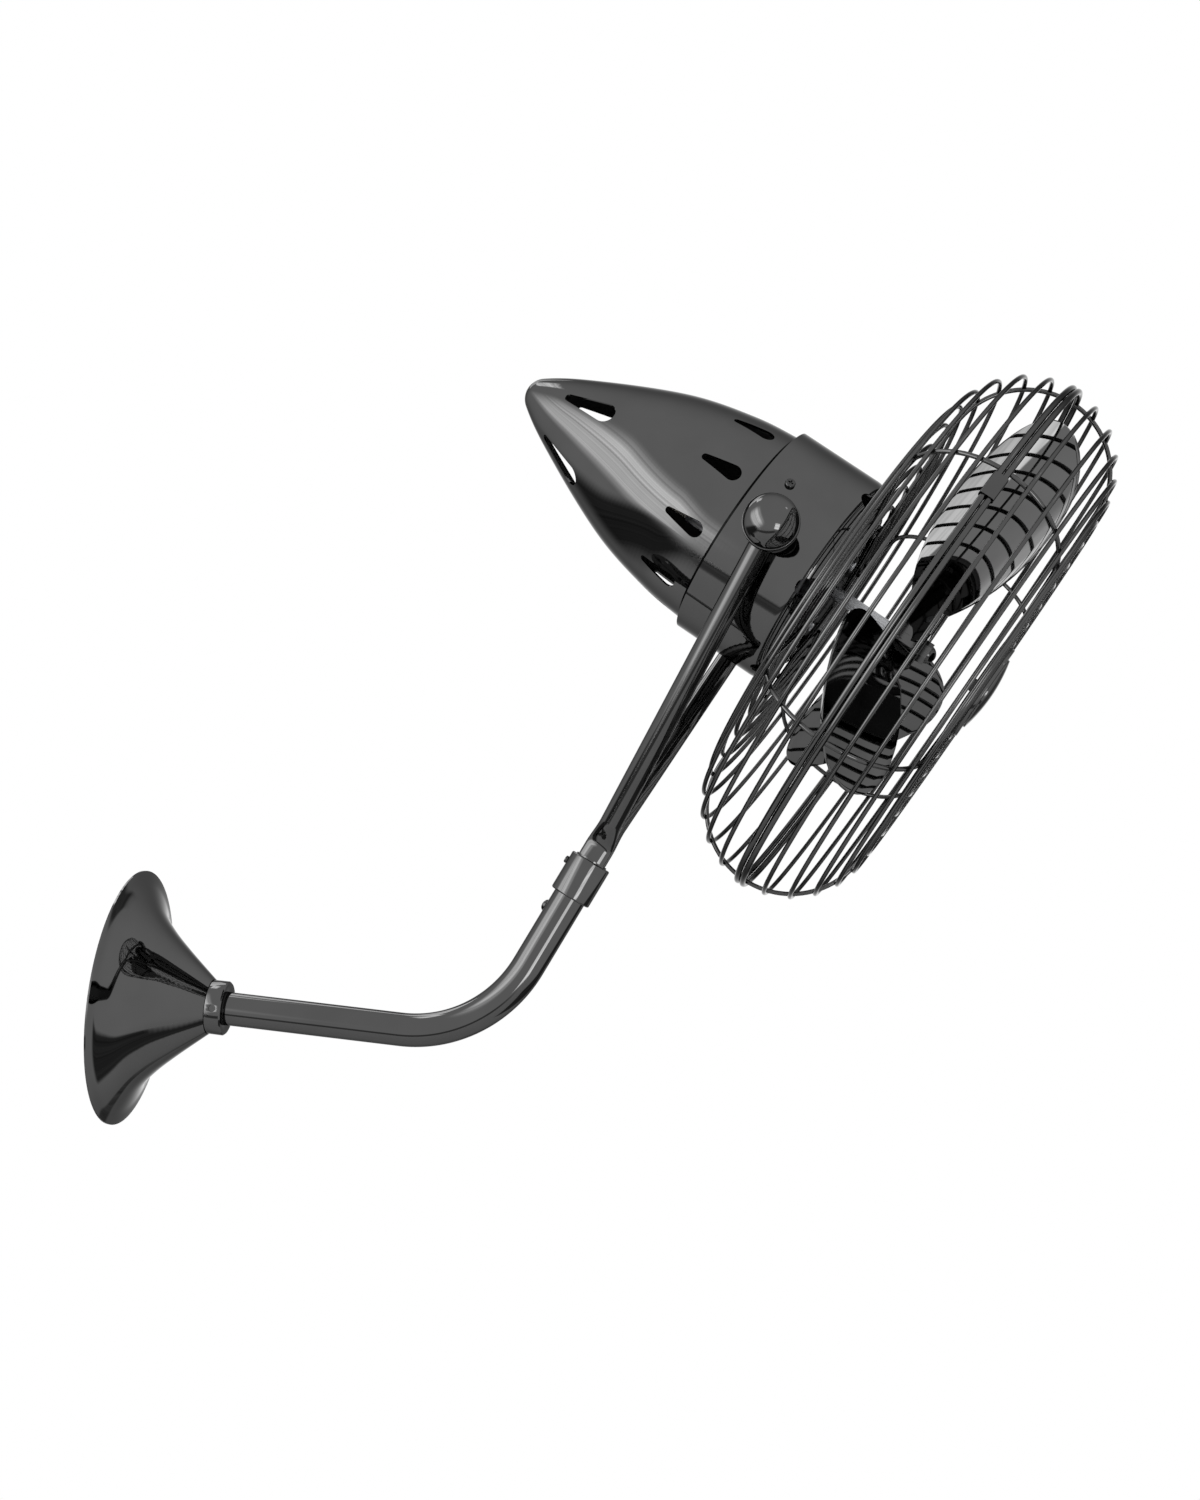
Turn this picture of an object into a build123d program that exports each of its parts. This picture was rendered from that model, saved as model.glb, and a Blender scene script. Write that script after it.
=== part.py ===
"""A wall mounted fan: a spun canopy and a bent tube arm carry a two-legged fork,
and the fork holds a bullet-shaped motor housing with three blades in a wire cage.

Units are millimetres. The origin is the middle of the wall plate's back, +X points
out of the wall and +Z up. The fork turns about the arm's upper leg, the head tilts
about a level axis through the fork's two ball caps, and the blades spin on the
fan axis. Everything on the head is placed by its distance along the fan axis
from the tilt axis ("s") and its radius from the fan axis.
"""
from build123d import *
from math import acos, asin, cos, degrees, radians, sin, sqrt
import os

os.makedirs("parts", exist_ok=True)

# Clearances
TOUCH = 0.05  # air left between pieces that are pressed or screwed together
RUNNING = 0.08  # radial play of a turning fit
SCREW_PLAY = 0.3  # radial play of a screw in its hole

# Wall end: plate, canopy and collar
PLATE_R = 75.0
PLATE_THICK = 3.0
WALL_SCREW_CIRCLE_R = 60.0
WALL_SCREW_HOLE_R = 2.75
WIRE_HOLE_R = 9.0
SOCKET_R = 18.0
SOCKET_DEPTH = 30.0
CANOPY_R = 92.0
CANOPY_DEPTH = 61.0
CANOPY_NECK_R = 20.0
CANOPY_LIP = 1.2
CANOPY_FLANK = ((4.5, 81.0), (12.0, 66.2), (23.0, 53.1), (38.0, 39.3))  # distance from the wall and radius
CANOPY_WALL = 1.2
COLLAR_R = 19.5
COLLAR_LENGTH = 12.0
GRUB_R = 2.5

# Arm: a level tube, a bend, and the leg that carries the fork
ARM_R = 12.0
ARM_WALL = 1.5
ARM_REACH = 201.0  # wall to the start of the bend
BEND_R = 95.0
BEND_ANGLE = 65.2
LEG_TUBE = 72.0  # bend's end to the tube's end
SLEEVE_R = 15.2
SLEEVE_START = 57.0
SLEEVE_LENGTH = 30.0
STEM_START = 30.0
STEM_BORE_R = 7.0
SLEEVE_SCREW_AT = 79.0
SWIVEL_SCREW_AT = 43.0
SWIVEL_SCREW_TURN = 30.0  # the swivel screw sits this far round to the back

# Fork
YOKE_HEIGHT = 343.5  # bend's end to the tilt axis
FORK_TUBE_R = 8.0
FORK_WALL = 1.3
FORK_HALF_SPAN = 110.0  # tube centre line to the middle, at the tilt axis
FORK_FLAT_HALF = (10.2, 4.7)  # half width and half thickness of the pressed end
FORK_FLAT_Y = 4.95
FORK_FLAT_LENGTH = 9.0
FORK_ROUND_AT = 119.0
FORK_ROUND_Y = 16.5
BARREL_R = 17.0
BARREL_INNER = 95.0  # from the middle plane
BARREL_LENGTH = 20.0
CAP_R = 19.5
CAP_GRIP = 3.0
CAP_DOME_R = 18.8
CAP_DOME_HEIGHT = 16.5
CAP_WALL = 1.5

# Head: angle below level, and the housing's two shells
HEAD_PITCH = 28.6
NOSE_S = -219.0
NOSE_R = 15.0
NOSE_WRAP = 54.0  # degrees of the nose circle before the flank takes over
FLANK = ((-172.0, 35.2), (-114.0, 60.7), (-67.0, 72.6), (-32.0, 76.6))  # s and radius along the bullet
SHELL_WALL = 1.5
BAND_R = 82.0
BAND_START = -29.5
SKIRT_END = -4.0
FACE_S = 46.4
SHOULDER_R = 14.0
FACE_HOLE_R = 15.0
SKIRT_GAP = 0.2
VENT_COUNT = 10
VENT_TURN = 2.5
VENT_NARROW = (-70.0, 2.6)  # s and radius of the teardrop's two ends
VENT_WIDE = (-47.5, 6.2)
NOSE_VENT_COUNT = 5
NOSE_VENT_TURN = 5.0
NOSE_VENT_NARROW = (-183.0, 2.9)
NOSE_VENT_WIDE = (-152.0, 7.6)
SLOT_COUNT = 6
SLOT_TURN = 44.0
SLOT_SIZE = (26.0, 15.0)
SLOT_S = 46.0
SLOT_DEPTH_R = 64.0
SHELL_SCREW_S = -10.0
SHELL_SCREW_ANGLES = (65.0, 245.0)
SHELL_SCREW_R = 1.75

# Tilt pivots
STUD_R = 5.0
BOSS_R = 13.0
BOSS_END = 93.5
STUD_END = 126.0
STUD_HEAD = (8.0, 5.0)  # radius and thickness
SADDLE_PAD_R = 9.0  # a flat pad on each saddle, under the stud's head
SADDLE_PAD_DEPTH = 1.0
SADDLE_WALL = 2.0
SADDLE_HALF_ANGLE = 32.0
SADDLE_S = (-20.0, 12.0)
PIVOT_NUT = (8.0, 6.5)

# Motor
MOTOR_R = 50.0
BELL_WALL = 2.5
BELL_LENGTH = 30.0
BELL_CORNER = 5.0
FLANGE_R = 57.0
FLANGE_THICK = 3.0
STATOR_HALF = 15.0
STATOR_BORE_R = 30.0
STATOR_SLOTS = 12
AIR_GAP = 0.6
WINDING_LENGTH = 6.5
BEARING_R = 11.0
BEARING_LENGTH = 7.0
BEARING_BOSS = 6.0  # how far each bearing's boss stands out of its bell
SHAFT_R = 5.0
SHAFT_END = 131.0
POST_CIRCLE_R = 38.0
POST_R = 5.0
CAPACITOR_R = 15.0
CAPACITOR_LENGTH = 42.0
CAPACITOR_S = -92.0

# Cage: two halves of welded hoops and ribs that meet at a double rim
WIRE_R = 1.65
RIM_WIRE_R = 2.2
RIM_S = 112.5
RIM_R = 207.5
CROWN_CENTRE_R = 145.0
CROWN_R = 62.0
CROWN_ANGLES = (17.0, 34.0, 50.5, 66.0, 80.0)
FACE_HOOPS_R = (140.0, 123.0, 106.0, 89.0, 72.0, 56.0)
FRONT_INNER_HOOP_R = 40.0
WELD = 1.0  # how deep crossing wires are welded into each other
RIB_COUNT = 6
RIB_TURN = 1.0
REAR_RIB_END_R = 50.0
FRONT_RIB_END_R = 34.0
MOUNT_RING_R = (46.0, 62.0)
MOUNT_RING_THICK = 2.4
GUARD_SCREW_CIRCLE_R = 50.5
CLIP_ANGLES = (66.0, 246.0)
CLIP_LENGTH = 19.0
CLIP_WALL = 0.9
MEDALLION_R = 36.5
MEDALLION_THICK = 2.4
MEDALLION_STEP_R = 28.0
MEDALLION_STEP = 1.2
MEDALLION_DOME = 3.4
CLAMP_R = 38.0

# Blades
BLADE_TIP_R = 187.0
BLADE_ROOT_R = 28.0
BLADE_HALF_WIDTH = 60.0
BLADE_ROOT_HALF = 20.0
BLADE_THICK = 1.5
BLADE_CAMBER = 8.0
BLADE_PITCH_ROOT = 48.0
BLADE_PITCH_TIP = 34.0
BLADE_S = 117.5
BLADE_TURN = 1.0
BLADE_COUNT = 3
ARM_PLATE_THICK = 2.4
ARM_PLATE_END_R = 64.0
ARM_PLATE_HALF = 15.0
HUB_R = 13.0
HUB_LENGTH = 26.0
BLADE_SCREWS = ((42.0, -8.5), (42.0, 8.5), (57.0, 0.0))  # radius and chord place

# Directions and reference planes worked out from the sizes above
leg_dir = Vector(cos(radians(BEND_ANGLE)), 0, sin(radians(BEND_ANGLE)))
bend_end = Vector(
    ARM_REACH + BEND_R * sin(radians(BEND_ANGLE)), 0, BEND_R * (1 - cos(radians(BEND_ANGLE)))
)
yoke_point = bend_end + leg_dir * YOKE_HEIGHT
fan_dir = Vector(cos(radians(HEAD_PITCH)), 0, -sin(radians(HEAD_PITCH)))
head_up = Vector(sin(radians(HEAD_PITCH)), 0, cos(radians(HEAD_PITCH)))
head = Plane(origin=yoke_point, x_dir=head_up, z_dir=fan_dir)
leg = Plane(origin=bend_end, x_dir=(sin(radians(BEND_ANGLE)), 0, -cos(radians(BEND_ANGLE))), z_dir=leg_dir)
leg_section = Plane(origin=bend_end, x_dir=leg_dir, z_dir=(0, -1, 0))
fan_axis = Axis(yoke_point, fan_dir)
leg_axis = Axis(bend_end, leg_dir)
tilt_axis = Axis(yoke_point, (0, 1, 0))
SIDES = (("near", -1), ("far", 1))  # the side that the ball cap in view is on, and the other


def section_at(turn):
    """The plane through the fan axis whose sketches read (s, radius) at this angle round the head."""
    radial = head_up.rotate(Axis((0, 0, 0), fan_dir), turn)
    return Plane(origin=yoke_point, x_dir=fan_dir, z_dir=fan_dir.cross(radial))


def pivot_section(side):
    """The plane through the tilt axis whose sketches read (distance from the middle, radius)."""
    return Plane(origin=yoke_point, x_dir=(0, side, 0), z_dir=(-side, 0, 0))


def pivot_place(side, distance):
    """The plane square to the tilt axis at this distance from the middle, facing outwards."""
    return Plane(origin=yoke_point + Vector(0, side * distance, 0), z_dir=(0, side, 0))


def save(piece, name):
    """Labels a finished piece and writes its file."""
    piece.part.label = name
    export_step(piece.part, f"parts/{name}.step")


def pan_screw(place, head_r, head_height, shank_r, shank_length):
    """A cross-slotted pan head screw: its head stands on the place's plane, its shank goes below."""
    with BuildPart(place) as screw:
        with BuildSketch(place):
            Circle(head_r)
        extrude(amount=head_height)
        fillet(screw.faces().sort_by(Axis(place.origin, place.z_dir))[-1].edges(), head_height * 0.45)
        with BuildSketch(place.offset(head_height)):
            Rectangle(head_r * 1.1, head_r * 0.28)
            Rectangle(head_r * 0.28, head_r * 1.1)
        extrude(amount=-head_height * 0.55, mode=Mode.SUBTRACT)
        with BuildSketch(place):
            Circle(shank_r)
        extrude(amount=-shank_length)
    return screw.part


def dome_arc(base, radius, rise):
    """The section of a shallow dome, from its edge to the fan axis where its centre lies."""
    ball = (radius**2 + rise**2) / (2 * rise)
    half_angle = degrees(asin(radius / ball))
    return CenterArc((base + rise - ball, 0), ball, half_angle, -half_angle)


def tube_sketch(outer_r, inner_r):
    """A ring, drawn in the sketch that calls it."""
    Circle(outer_r)
    Circle(inner_r, mode=Mode.SUBTRACT)


# Wall plate: a pressed steel disc with four screw holes and a hole for the supply cable
with BuildPart() as wall_plate:
    with BuildSketch(Plane.YZ):
        Circle(PLATE_R)
        Circle(WIRE_HOLE_R, mode=Mode.SUBTRACT)
        with PolarLocations(WALL_SCREW_CIRCLE_R, 4, start_angle=45):
            Circle(WALL_SCREW_HOLE_R, mode=Mode.SUBTRACT)
    extrude(amount=PLATE_THICK)
save(wall_plate, "wall_plate")

# Arm socket: a turned ring, riveted to the plate from behind, that takes the arm
SOCKET_END = PLATE_THICK + SOCKET_DEPTH
SOCKET_SCREW_X = PLATE_THICK + SOCKET_DEPTH * 0.6
with BuildPart() as arm_socket:
    with BuildSketch(Plane.YZ.offset(PLATE_THICK + TOUCH)):
        tube_sketch(SOCKET_R, ARM_R + TOUCH)
    extrude(amount=SOCKET_DEPTH - TOUCH)
    chamfer(arm_socket.faces().sort_by(Axis.X)[-1].edges(), 0.8)
    with BuildSketch(Plane.XY):
        with Locations((SOCKET_SCREW_X, 0)):
            Circle(GRUB_R + TOUCH)
    extrude(amount=SOCKET_R + 1, both=True, mode=Mode.SUBTRACT)
save(arm_socket, "arm_socket")

# Two grub screws pin the arm in the socket
with BuildPart() as socket_screws:
    with BuildSketch(Plane.XY.offset(ARM_R + TOUCH)) as grub:
        with Locations((SOCKET_SCREW_X, 0)):
            Circle(GRUB_R)
            RegularPolygon(GRUB_R * 0.55, 6, mode=Mode.SUBTRACT)
    extrude(amount=SOCKET_R - ARM_R)
    mirror(about=Plane.XY)
save(socket_screws, "socket_screws")

# Terminal block for the supply leads, on the plate above the socket
TERMINAL_SIZE = (12.0, 30.0, 18.0)
TERMINAL_Z = 36.0
with BuildPart() as terminal_block:
    with BuildSketch(Plane.YZ.offset(PLATE_THICK)):
        with Locations((0, TERMINAL_Z)):
            Rectangle(TERMINAL_SIZE[1], TERMINAL_SIZE[2])
    extrude(amount=TERMINAL_SIZE[0])
    chamfer(terminal_block.edges().filter_by(Axis.X), 1.5)
    with BuildSketch(Plane.YZ.offset(PLATE_THICK + TERMINAL_SIZE[0])):
        with Locations((0, TERMINAL_Z)):
            with GridLocations(TERMINAL_SIZE[1] / 3, TERMINAL_SIZE[2] / 2, 3, 2):
                Circle(2.2)
    extrude(amount=-TERMINAL_SIZE[0] / 2, mode=Mode.SUBTRACT)
save(terminal_block, "terminal_block")

# Canopy: a spun trumpet that hides the plate; its inside is the same curve moved to the wall
CANOPY_SHIFT = CANOPY_WALL * 1.4
with BuildPart() as canopy:
    for shift, mode in ((0, Mode.ADD), (CANOPY_SHIFT, Mode.SUBTRACT)):
        with BuildSketch(Plane.XZ):
            with BuildLine():
                ends = (CANOPY_LIP, CANOPY_R), (CANOPY_DEPTH, CANOPY_NECK_R)
                flank = Spline(*[(x - shift, r) for x, r in (ends[0], *CANOPY_FLANK, ends[1])])
                Polyline(flank @ 1, (CANOPY_DEPTH - shift, 0), (-shift, 0), (-shift, CANOPY_R), flank @ 0)
            make_face()
        revolve(axis=Axis.X, mode=mode)
    with BuildSketch(Plane.YZ):
        Circle(ARM_R + SCREW_PLAY)
    extrude(amount=CANOPY_DEPTH, mode=Mode.SUBTRACT)
save(canopy, "canopy")

# Collar that slides on the arm and holds the canopy to the wall
COLLAR_START = CANOPY_DEPTH
COLLAR_MID = COLLAR_START + COLLAR_LENGTH / 2
with BuildPart() as canopy_collar:
    with BuildSketch(Plane.YZ.offset(COLLAR_START)):
        tube_sketch(COLLAR_R, ARM_R + TOUCH)
    extrude(amount=COLLAR_LENGTH)
    chamfer(canopy_collar.faces().sort_by(Axis.X)[-1].edges(), 1.0)
    with BuildSketch(Plane.XZ):
        with Locations((COLLAR_MID, 0)):
            Circle(GRUB_R + TOUCH)
    extrude(amount=COLLAR_R + 1, mode=Mode.SUBTRACT)
save(canopy_collar, "canopy_collar")

with BuildPart() as collar_set_screw:
    with BuildSketch(Plane.XZ.offset(ARM_R + TOUCH)):
        with Locations((COLLAR_MID, 0)):
            Circle(GRUB_R)
    extrude(amount=COLLAR_R - ARM_R - 0.6)
    with BuildSketch(Plane.XZ.offset(COLLAR_R - 0.6)):
        with Locations((COLLAR_MID, 0)):
            RegularPolygon(GRUB_R * 0.6, 6)
    extrude(amount=-3, mode=Mode.SUBTRACT)
save(collar_set_screw, "collar_set_screw")

# Arm: one tube, bent once, with a hole for the swivel screw
screw_out = leg.x_dir * -1
swivel_screw_dir = screw_out.rotate(Axis((0, 0, 0), leg_dir), -SWIVEL_SCREW_TURN)
swivel_screw_place = Plane(
    origin=bend_end + leg_dir * SWIVEL_SCREW_AT + swivel_screw_dir * (ARM_R + TOUCH),
    z_dir=swivel_screw_dir,
)
with BuildPart() as arm_tube:
    with BuildLine(Plane.XZ) as arm_path:
        run = Line((PLATE_THICK, 0), (ARM_REACH, 0))
        bend = JernArc(run @ 1, run % 1, BEND_R, BEND_ANGLE)
        Line(bend @ 1, bend @ 1 + (bend % 1) * LEG_TUBE)
    with BuildSketch(Plane.YZ.offset(PLATE_THICK)):
        tube_sketch(ARM_R, ARM_R - ARM_WALL)
    sweep(path=arm_path.line)
    with BuildSketch(swivel_screw_place):
        Circle(GRUB_R + TOUCH)
    extrude(amount=-ARM_WALL * 2, mode=Mode.SUBTRACT)
save(arm_tube, "arm_tube")

# Coupler sleeve over the end of the arm, where the fork plugs in
STEM_SHOULDER_R = ARM_R
sleeve_screw_place = Plane(
    origin=bend_end + leg_dir * SLEEVE_SCREW_AT + screw_out * (SLEEVE_R + TOUCH), z_dir=screw_out
)
with BuildPart() as coupler_sleeve:
    with BuildSketch(leg.offset(SLEEVE_START)):
        tube_sketch(SLEEVE_R, ARM_R + RUNNING)
    extrude(amount=SLEEVE_LENGTH)
    fillet(coupler_sleeve.edges().filter_by(GeomType.CIRCLE).group_by(SortBy.RADIUS)[-1], 1.2)
    with BuildSketch(sleeve_screw_place.offset(2)):
        Circle(SHELL_SCREW_R + TOUCH)
    extrude(amount=-SLEEVE_R + STEM_SHOULDER_R - 4, mode=Mode.SUBTRACT)
save(coupler_sleeve, "coupler_sleeve")

with BuildPart() as sleeve_screw:
    add(pan_screw(sleeve_screw_place, 2.7, 1.9, SHELL_SCREW_R, SLEEVE_R - STEM_SHOULDER_R - SCREW_PLAY))
save(sleeve_screw, "sleeve_screw")

SWIVEL_TIP_R = ARM_R - ARM_WALL - RUNNING + SCREW_PLAY  # it stops short of the fork's stem
with BuildPart() as swivel_screw:
    add(pan_screw(swivel_screw_place, 4.6, 3.4, GRUB_R, ARM_R + TOUCH - SWIVEL_TIP_R))
save(swivel_screw, "swivel_screw")

# Fork stem: a bored plug that turns in the arm and stands on the tube's end
SLEEVE_END = SLEEVE_START + SLEEVE_LENGTH
STEM_TOP = SLEEVE_END + 1.0
with BuildPart() as fork_stem:
    with BuildSketch(leg.offset(STEM_START)):
        tube_sketch(ARM_R - ARM_WALL - RUNNING, STEM_BORE_R)
    extrude(amount=LEG_TUBE + TOUCH - STEM_START)
    with BuildSketch(leg.offset(LEG_TUBE + TOUCH)):
        tube_sketch(STEM_SHOULDER_R, STEM_BORE_R)
    extrude(amount=STEM_TOP - LEG_TUBE - TOUCH)
save(fork_stem, "fork_stem")

# Fork tubes: pressed flat at the foot so that both sit on the stem, round above,
# and coped at the top to the barrel that they are welded to
fork_rise = YOKE_HEIGHT - FORK_ROUND_AT
fork_lean = (FORK_HALF_SPAN - FORK_ROUND_Y) / fork_rise
for name, side in SIDES:
    tube_dir = (leg_dir + Vector(0, side * fork_lean, 0)).normalized()
    round_start = bend_end + leg_dir * FORK_ROUND_AT + Vector(0, side * FORK_ROUND_Y, 0)
    round_place = Plane(origin=round_start, x_dir=leg.x_dir, z_dir=tube_dir)
    run_length = (fork_rise - BARREL_R / 2) * sqrt(1 + fork_lean**2)
    with BuildPart() as fork_tube:
        for inset, mode in ((0, Mode.ADD), (FORK_WALL, Mode.SUBTRACT)):
            for height in (STEM_TOP, STEM_TOP + FORK_FLAT_LENGTH):
                with BuildSketch(leg.offset(height)):
                    with Locations((0, side * FORK_FLAT_Y)):
                        Ellipse(FORK_FLAT_HALF[0] - inset, FORK_FLAT_HALF[1] - inset)
            with BuildSketch(round_place):
                Circle(FORK_TUBE_R - inset)
            loft(mode=mode)
            with BuildSketch(round_place):
                Circle(FORK_TUBE_R - inset)
            extrude(amount=run_length, mode=mode)
        with BuildSketch(pivot_place(side, 0)):
            Circle(BARREL_R)
        extrude(amount=2 * FORK_HALF_SPAN, mode=Mode.SUBTRACT)
    save(fork_tube, f"fork_tube_{name}")

# Barrels at the top of the fork, bored for the pivot studs
for name, side in SIDES:
    with BuildPart() as pivot_barrel:
        with BuildSketch(pivot_section(side)):
            with Locations((BARREL_INNER + BARREL_LENGTH / 2, (BARREL_R + STUD_R + RUNNING) / 2)):
                Rectangle(BARREL_LENGTH, BARREL_R - STUD_R - RUNNING)
        revolve(axis=tilt_axis)
    save(pivot_barrel, f"pivot_barrel_{name}")

# Ball caps: hollow domes pressed over the barrels' outer ends
BARREL_OUTER = BARREL_INNER + BARREL_LENGTH
CAP_START = BARREL_OUTER - CAP_GRIP
CAP_SKIRT_END = BARREL_OUTER + 3.5
for name, side in SIDES:
    with BuildPart() as pivot_cap:
        with BuildSketch(pivot_section(side)):
            with BuildLine():
                Line((CAP_START, BARREL_R + TOUCH), (CAP_START, CAP_R))
                Line((CAP_START, CAP_R), (CAP_SKIRT_END, CAP_R))
                Line((CAP_SKIRT_END, CAP_R), (CAP_SKIRT_END, CAP_DOME_R - 0.7))
                wall = Line((CAP_SKIRT_END, CAP_DOME_R - 0.7), (CAP_SKIRT_END + 1, CAP_DOME_R))
                dome = EllipticalCenterArc(
                    (CAP_SKIRT_END + 1, 0), CAP_DOME_HEIGHT, CAP_DOME_R, arc_size=90
                )
                Line((CAP_SKIRT_END + 1 + CAP_DOME_HEIGHT, 0), (CAP_SKIRT_END + 1 + CAP_DOME_HEIGHT - CAP_WALL, 0))
                inner = EllipticalCenterArc(
                    (CAP_SKIRT_END + 1, 0), CAP_DOME_HEIGHT - CAP_WALL, BARREL_R + TOUCH, arc_size=90
                )
                Line((CAP_SKIRT_END + 1, BARREL_R + TOUCH), (CAP_START, BARREL_R + TOUCH))
            make_face()
        revolve(axis=tilt_axis)
    save(pivot_cap, f"pivot_cap_{name}")


def teardrop_cutter(narrow, wide):
    """A radial prism with a teardrop outline, in the head's own frame with the fan axis on Z."""
    tangent = Plane(origin=(0, 0, 0), x_dir=(0, 0, 1), z_dir=(1, 0, 0))
    with BuildPart() as cutter:
        with BuildSketch(tangent):
            for s, radius in (narrow, wide):
                with Locations((s, 0)):
                    Circle(radius)
            make_hull()
        extrude(amount=BAND_R)
    return cutter.part


def radial_place(turn, s, radius):
    """A plane that faces out of the head at this angle, distance along the axis and radius."""
    out = head_up.rotate(Axis((0, 0, 0), fan_dir), turn)
    return Plane(origin=yoke_point + fan_dir * s + out * radius, x_dir=fan_dir, z_dir=out)


# The holes for the screws that join the shells, in the head's own frame
with BuildPart() as shell_screw_drill:
    for turn in SHELL_SCREW_ANGLES:
        out = Vector(1, 0, 0).rotate(Axis.Z, turn)
        with BuildSketch(Plane(origin=out * (BAND_R - 12) + Vector(0, 0, SHELL_SCREW_S), z_dir=out)):
            Circle(SHELL_SCREW_R + TOUCH)
        extrude(amount=14)

# Rear shell: the bullet, drawn in one piece, with two rings of teardrop vents
SKIRT_R = BAND_R - SHELL_WALL - SKIRT_GAP
SADDLE_OUTER_R = SKIRT_R - SHELL_WALL - SKIRT_GAP
SADDLE_PAD_FACE = SADDLE_OUTER_R - SADDLE_WALL - SADDLE_PAD_DEPTH
with BuildPart(head) as rear_shell:
    for inset, mode in ((0, Mode.ADD), (SHELL_WALL, Mode.SUBTRACT)):
        with BuildSketch(section_at(0)):
            with BuildLine():
                nose = CenterArc((NOSE_S + NOSE_R, 0), NOSE_R - inset, 180, -NOSE_WRAP)
                flank = Spline(
                    nose @ 1, *[(s, r - inset * 1.05) for s, r in FLANK], tangents=(nose % 1, (1, 0.08))
                )
                joggle = Line(flank @ 1, (BAND_START, SKIRT_R - inset))
                skirt = Line(joggle @ 1, (SKIRT_END + inset, SKIRT_R - inset))
                Polyline(skirt @ 1, (SKIRT_END + inset, 0), nose @ 0)
            make_face()
        revolve(axis=fan_axis, mode=mode)
    with PolarLocations(0, VENT_COUNT, start_angle=VENT_TURN):
        add(teardrop_cutter(VENT_NARROW, VENT_WIDE), mode=Mode.SUBTRACT)
    with PolarLocations(0, NOSE_VENT_COUNT, start_angle=NOSE_VENT_TURN):
        add(teardrop_cutter(NOSE_VENT_NARROW, NOSE_VENT_WIDE), mode=Mode.SUBTRACT)
    add(shell_screw_drill.part, mode=Mode.SUBTRACT)
    for name, side in SIDES:
        with BuildSketch(pivot_place(side, SADDLE_PAD_FACE)):
            Circle(SADDLE_PAD_R + SKIRT_GAP)
        extrude(amount=BAND_R, mode=Mode.SUBTRACT)
save(rear_shell, "rear_shell")

# Front shell: a band with a rounded shoulder and a flat face for the motor and cage
FACE_SCREW_R = 2.0
with BuildPart(head) as front_shell:
    with BuildSketch(section_at(0)):
        with BuildLine():
            band = Line((BAND_START, BAND_R), (FACE_S - SHOULDER_R, BAND_R))
            shoulder = TangentArc(band @ 1, (FACE_S, BAND_R - SHOULDER_R), tangent=(1, 0))
            Line(shoulder @ 1, (FACE_S, FACE_HOLE_R))
            offset(amount=SHELL_WALL, side=Side.RIGHT)
        make_face()
    revolve(axis=fan_axis)
    for k in range(SLOT_COUNT):
        with BuildSketch(radial_place(SLOT_TURN + k * 360 / SLOT_COUNT, SLOT_S, SLOT_DEPTH_R)):
            SlotOverall(*SLOT_SIZE)
        extrude(amount=BAND_R - SLOT_DEPTH_R + 1, mode=Mode.SUBTRACT)
    with BuildSketch(Plane(origin=yoke_point, z_dir=(0, 1, 0))):
        Circle(STUD_R + SCREW_PLAY)
    extrude(amount=BAND_R + 1, both=True, mode=Mode.SUBTRACT)
    with BuildSketch(head.offset(FACE_S + 1)):
        with PolarLocations(POST_CIRCLE_R, 4, start_angle=45):
            Circle(FACE_SCREW_R + TOUCH)
        with PolarLocations(GUARD_SCREW_CIRCLE_R, 4):
            Circle(FACE_SCREW_R + TOUCH)
    extrude(amount=-4, mode=Mode.SUBTRACT)
    add(shell_screw_drill.part, mode=Mode.SUBTRACT)
save(front_shell, "front_shell")

# Two pan head screws go through band, skirt and saddle, one above each pivot
with BuildPart() as shell_screws:
    for turn in SHELL_SCREW_ANGLES:
        seat = radial_place(turn, SHELL_SCREW_S, BAND_R + TOUCH)
        add(pan_screw(seat, 3.6, 2.4, SHELL_SCREW_R, BAND_R - SADDLE_OUTER_R + SADDLE_WALL))
save(shell_screws, "shell_screws")

# Saddles inside the band carry the pivot studs
for name, side in SIDES:
    pivot_turn = 90 if side < 0 else 270
    with BuildPart(head) as pivot_saddle:
        with BuildSketch(section_at(pivot_turn - SADDLE_HALF_ANGLE)):
            with Locations((sum(SADDLE_S) / 2, SADDLE_OUTER_R - SADDLE_WALL / 2)):
                Rectangle(SADDLE_S[1] - SADDLE_S[0], SADDLE_WALL)
        revolve(axis=fan_axis, revolution_arc=2 * SADDLE_HALF_ANGLE)
        with BuildSketch(pivot_place(side, SADDLE_PAD_FACE)):
            Circle(SADDLE_PAD_R)
        extrude(amount=BAND_R - SHELL_WALL - TOUCH - SADDLE_PAD_FACE)
        with BuildSketch(head.offset(SADDLE_S[0] - 1)):
            tube_sketch(BAND_R * 1.5, BAND_R - SHELL_WALL - TOUCH)
        extrude(amount=SADDLE_S[1] - SADDLE_S[0] + 2, mode=Mode.SUBTRACT)
        with BuildSketch(pivot_place(side, 0)):
            Circle(STUD_R + TOUCH)
        extrude(amount=BAND_R, mode=Mode.SUBTRACT)
        add(shell_screw_drill.part, mode=Mode.SUBTRACT)
    save(pivot_saddle, f"pivot_saddle_{name}")

# Bosses outside the band, coped to it, that the fork's barrels run against
for name, side in SIDES:
    with BuildPart() as pivot_boss:
        with BuildSketch(pivot_place(side, BAND_R * 0.9)):
            tube_sketch(BOSS_R, STUD_R + TOUCH)
        extrude(amount=BOSS_END - BAND_R * 0.9)
        with BuildSketch(head.offset(-BOSS_R - 1)):
            Circle(BAND_R + TOUCH)
        extrude(amount=2 * BOSS_R + 2, mode=Mode.SUBTRACT)
    save(pivot_boss, f"pivot_boss_{name}")

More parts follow.
